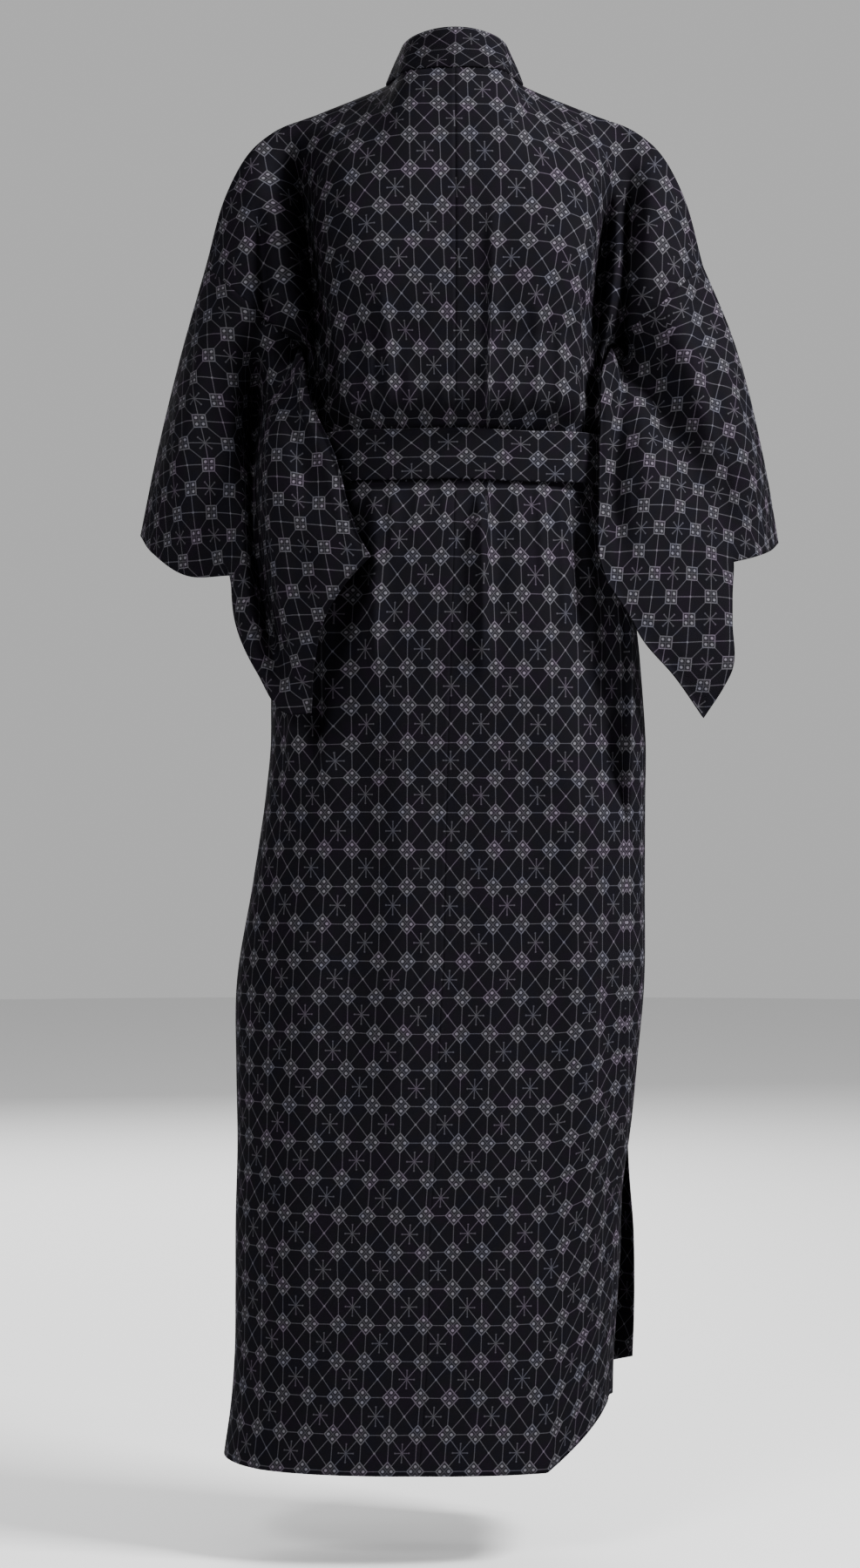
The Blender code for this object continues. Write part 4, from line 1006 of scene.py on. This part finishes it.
waist = sections(np.full(1, BELT_MIDDLE))
ring_x, ring_y, ring_length = rings(waist)
turn = ring_length[0, -1]
# from the centre front, under the knot, round by the wearer's right to the back, and on
around = (np.arange(BELT_STEPS + 1) / BELT_STEPS - 0.5) * turn
clear = BELT_CLEAR + LAP_OUT * ease((BELT_OVERLAP - turn / 2 + abs(around)) / BELT_EASE)
share = np.array([row[0] for row in BELT_SECTION])
inset = np.array([row[1] for row in BELT_SECTION])
wrinkle = np.zeros((len(share), len(around)))
for place, height, slant, half, depth in BELT_WRINKLES:
    off = around[None, :] % turn - place - slant * BELT_HALF * (share[:, None] - height)
    wrinkle += depth * np.exp(-(off / half)**2) * np.exp(-((share[:, None] - height) / 0.7)**2)
push = clear[None, :] + BELT_WALL - inset[:, None] + wrinkle
# the folded edges rise and dip a little on their way round
sway = (0.0009 * np.sin(around / turn * 2 * np.pi * 3 + 0.6)
        + 0.0006 * np.sin(around / turn * 2 * np.pi * 7 + 2.0))
height = BELT_MIDDLE + share[:, None] * BELT_HALF + sway[None, :] * abs(share[:, None])
ring = [np.repeat(way, len(share), axis=0) for way in (ring_x, ring_y, ring_length)]
at = np.repeat((around % turn)[None, :], len(share), axis=0)
points = np.concatenate([off_ring(*ring, at, push), height[..., None]], axis=-1)
points[:, -1] = points[:, 0]
flat = np.stack([np.repeat(share[:, None] * BELT_HALF, len(around), axis=1),
                 np.repeat(around[None, :], len(share), axis=0)], axis=-1)
belt_cotton = cotton("belt_cotton", GROUND, INK, shift=(0.003, 0.0484))
belt = sew("robe_belt", [(points, flat, False)], belt_cotton, thickness=0.0)
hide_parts("belt")

# The knot. The belt's two ends pass over each other and are pulled tight into a squarish
# lump of wrapped turns, the last of them running slantwise over the others.
KNOT = {"half_width": 0.029, "half_height": 0.0275, "depth": 0.026, "roundness": 3.2, "clear": 0.0008}
KNOT_PROFILE = ((0.0, 0.0), (0.55, 0.0), (0.86, 0.04), (1.0, 0.28), (1.0, 0.62), (0.84, 0.90),
                (0.5, 1.0), (0.0, 1.0))
# grooves between the turns: ends (across, up), half width, depth
KNOT_GROOVES = (
    (-0.030, 0.010, 0.030, 0.016, 0.0022, -0.0030), (-0.030, -0.016, 0.030, -0.009, 0.0022, -0.0030),
    (-0.012, 0.030, -0.016, 0.012, 0.0018, -0.0022), (0.010, 0.030, 0.012, 0.014, 0.0018, -0.0022),
    (-0.008, -0.012, -0.014, -0.030, 0.0018, -0.0022), (0.012, -0.010, 0.010, -0.030, 0.0018, -0.0022),
    (-0.030, 0.001, 0.008, 0.004, 0.0020, -0.0014), (-0.004, -0.004, 0.030, -0.001, 0.0018, -0.0012),
)
KNOT_ROUND = 120
KNOT_ROWS = 56

angle = np.arange(KNOT_ROUND + 1) / KNOT_ROUND * 2 * np.pi
power = 2 / KNOT["roundness"]
across = KNOT["half_width"] * np.sign(np.cos(angle)) * abs(np.cos(angle))**power
up = KNOT["half_height"] * np.sign(np.sin(angle)) * abs(np.sin(angle))**power
front_of_waist = float(waist["front"][0]) + LAP_OUT + BELT_CLEAR + BELT_WALL
near = -front_of_waist - KNOT["clear"]
shape = through(np.arange(len(KNOT_PROFILE)), KNOT_PROFILE,
                np.linspace(0, len(KNOT_PROFILE) - 1, KNOT_ROWS + 1))
shape[:, 0] = np.clip(shape[:, 0], 0.0, 1.0)
points = np.stack([shape[:, :1] * across[None, :],
                   near - np.clip(shape[:, 1:], 0, 1) * KNOT["depth"] + 0 * across[None, :],
                   BELT_MIDDLE + shape[:, :1] * up[None, :]], axis=-1)
points[:, -1] = points[:, 0]
normal = outward(points, True)
normal[:, 0] = normal[:, -1] = (normal[:, 0] + normal[:, -1]) / 2
groove = np.zeros(points.shape[:2])
for *line, half, depth in KNOT_GROOVES:
    t, off = beside(points[..., 0], points[..., 2] - BELT_MIDDLE, *line)
    groove += depth * np.exp(-(off / half)**2) * ease(6 * (t + 0.1)) * ease(6 * (1.1 - t))
facing_out = ease((near - points[..., 1]) / (0.35 * KNOT["depth"]))
points = points + (groove * facing_out)[..., None] * normal
flat = np.stack([points[..., 2], points[..., 0] * 1.2], axis=-1)
knot = sew("robe_knot", [(points, flat, True)], belt_cotton, thickness=0.0)
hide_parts("belt_knot")

# The belt's two ends. They hang from under the knot, each folded flat as the belt is, the
# second one lying on the first, with square hemmed tips.
END_WALL = 0.0025
END_LAYER = 0.0036
END_DROP = 0.0045
END_SPREAD = 3
END_ROWS = 70
TIP_FROM = 0.985         # where the tip begins to round off, in shares of the length
# name, layer, offset at the top and tip, width at the top and tip, length
BELT_ENDS = (("left", 1, -0.014, -0.052, 0.040, 0.052, 0.150),
             ("right", 2, 0.013, 0.046, 0.040, 0.052, 0.135))
# across the strip from -1 to 1, and how far in from its outside; then back underneath
END_SECTION = ((-0.96, 0.0023), (-0.990, 0.0018), (-1.0, 0.0012), (-0.990, 0.0006),
               (-0.96, 0.0002), (-0.85, 0.0), (-0.6, 0.0), (-0.3, 0.0), (0.0, 0.0), (0.3, 0.0),
               (0.6, 0.0), (0.85, 0.0), (0.96, 0.0002),
               (0.990, 0.0006), (1.0, 0.0012), (0.990, 0.0018), (0.96, 0.0023), (0.5, 0.0024), (0.0, 0.0024),
               (-0.5, 0.0024), (-0.96, 0.0023))

for name, layer, top_offset, tip_offset, top_width, tip_width, length in BELT_ENDS:
    t = np.linspace(0, 1, END_ROWS + 1)
    heights = BELT_MIDDLE - BELT_HALF - END_DROP - t * length
    section = sections(heights)
    x, y, reach = rings(section)
    middle = reach[:, RING_STEPS // 2] + top_offset + t * (tip_offset - top_offset)
    half = (top_width + ease(END_SPREAD * t) * (tip_width - top_width)) / 2
    share = np.array([row[0] for row in END_SECTION])
    inset = np.array([row[1] for row in END_SECTION])
    at = middle[:, None] + half[:, None] * share[None, :]
    # soft waves down the strip, deepest at its middle
    wave = 0.0010 * np.sin(7.0 * t + layer) * np.sin(np.pi * t)
    tip = np.where(t > TIP_FROM, (1 - t) / (1 - TIP_FROM), 1.0)
    push = (LAP_OUT + BELT_CLEAR + END_WALL + (layer - 1) * END_LAYER + wave[:, None]
            - END_WALL / 2 + (END_WALL / 2 - inset[None, :]) * np.sqrt(np.clip(tip, 0.0, 1.0))[:, None])
    level = np.repeat(heights[:, None, None], at.shape[1], axis=1)
    points = np.concatenate([off_ring(x, y, reach, at, push), level], axis=-1)
    flat = np.stack([np.cumsum(np.insert(abs(np.diff(share)), 0, 0.0))[None, :] * half[:, None],
                     np.repeat((t * length)[:, None], len(share), axis=1)], axis=-1)
    end = sew("robe_belt_end_" + name, [(points, flat, True)], belt_cotton, thickness=0.0)
    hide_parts("belt_end_" + name)

# The floor, the lights and the camera. The floor is plain and pale, well below the hem, and
# the camera looks level at the back from three and a half metres.
FLOOR = -1.545
FLOOR_RADIUS, FLOOR_CORNERS = 9, 96
CAMERA_AT = (0.026, 3.5, -0.740)
METRES_PER_PIXEL = 0.000923
FRAME_TALL = 1800


def matt(name, colour):
    """A plain matt material."""
    material = bpy.data.materials.new(name)
    material.use_nodes = True
    material.node_tree.nodes["Principled BSDF"].inputs["Base Color"].default_value = (*colour, 1)
    material.node_tree.nodes["Principled BSDF"].inputs["Roughness"].default_value = 0.9
    return material


angle = np.linspace(0, 2 * np.pi, FLOOR_CORNERS + 1)[:-1]
ground = np.stack([FLOOR_RADIUS * np.cos(angle), FLOOR_RADIUS * np.sin(angle), np.full_like(angle, FLOOR)],
                  axis=1)
floor_mesh = bpy.data.meshes.new("floor")
floor_mesh.from_pydata(ground, [], [list(range(len(ground)))])
floor = bpy.data.objects.new("floor", floor_mesh)
floor_mesh.materials.append(matt("pale_floor", (0.74, 0.74, 0.74)))
bpy.context.scene.collection.objects.link(floor)


def soft_light(name, place, aim, size, watts):
    """A square area light at place that faces aim."""
    data = bpy.data.lights.new(name, "AREA")
    data.size = size
    data.energy = watts
    light = bpy.data.objects.new(name, data)
    light.location = place
    light.rotation_euler = (Vector(aim) - Vector(place)).to_track_quat("-Z", "Y").to_euler()
    bpy.context.scene.collection.objects.link(light)


soft_light("key", (-2.05, 1.00, 1.35), (0.0, 0.0, -0.35), 0.8, 270)
soft_light("fill", (1.5, 3.0, 1.5), (0.1, 0.0, -0.1), 1.2, 105)
soft_light("front", (0.8, -3.6, 1.2), (0.0, 0.0, -0.7), 2.0, 200)
world = bpy.data.worlds.new("studio")
world.use_nodes = True
world.node_tree.nodes["Background"].inputs[0].default_value = (1.0, 1.0, 1.0, 1)
world.node_tree.nodes["Background"].inputs[1].default_value = 0.52
bpy.context.scene.world = world

camera_data = bpy.data.cameras.new("camera")
camera_data.sensor_fit = "VERTICAL"
camera_data.angle = 2 * float(np.arctan(METRES_PER_PIXEL * FRAME_TALL / 2 / CAMERA_AT[1]))
camera = bpy.data.objects.new("camera", camera_data)
camera.location = CAMERA_AT
camera.rotation_euler = (np.pi / 2, 0.0, np.pi)
bpy.context.scene.collection.objects.link(camera)
bpy.context.scene.camera = camera
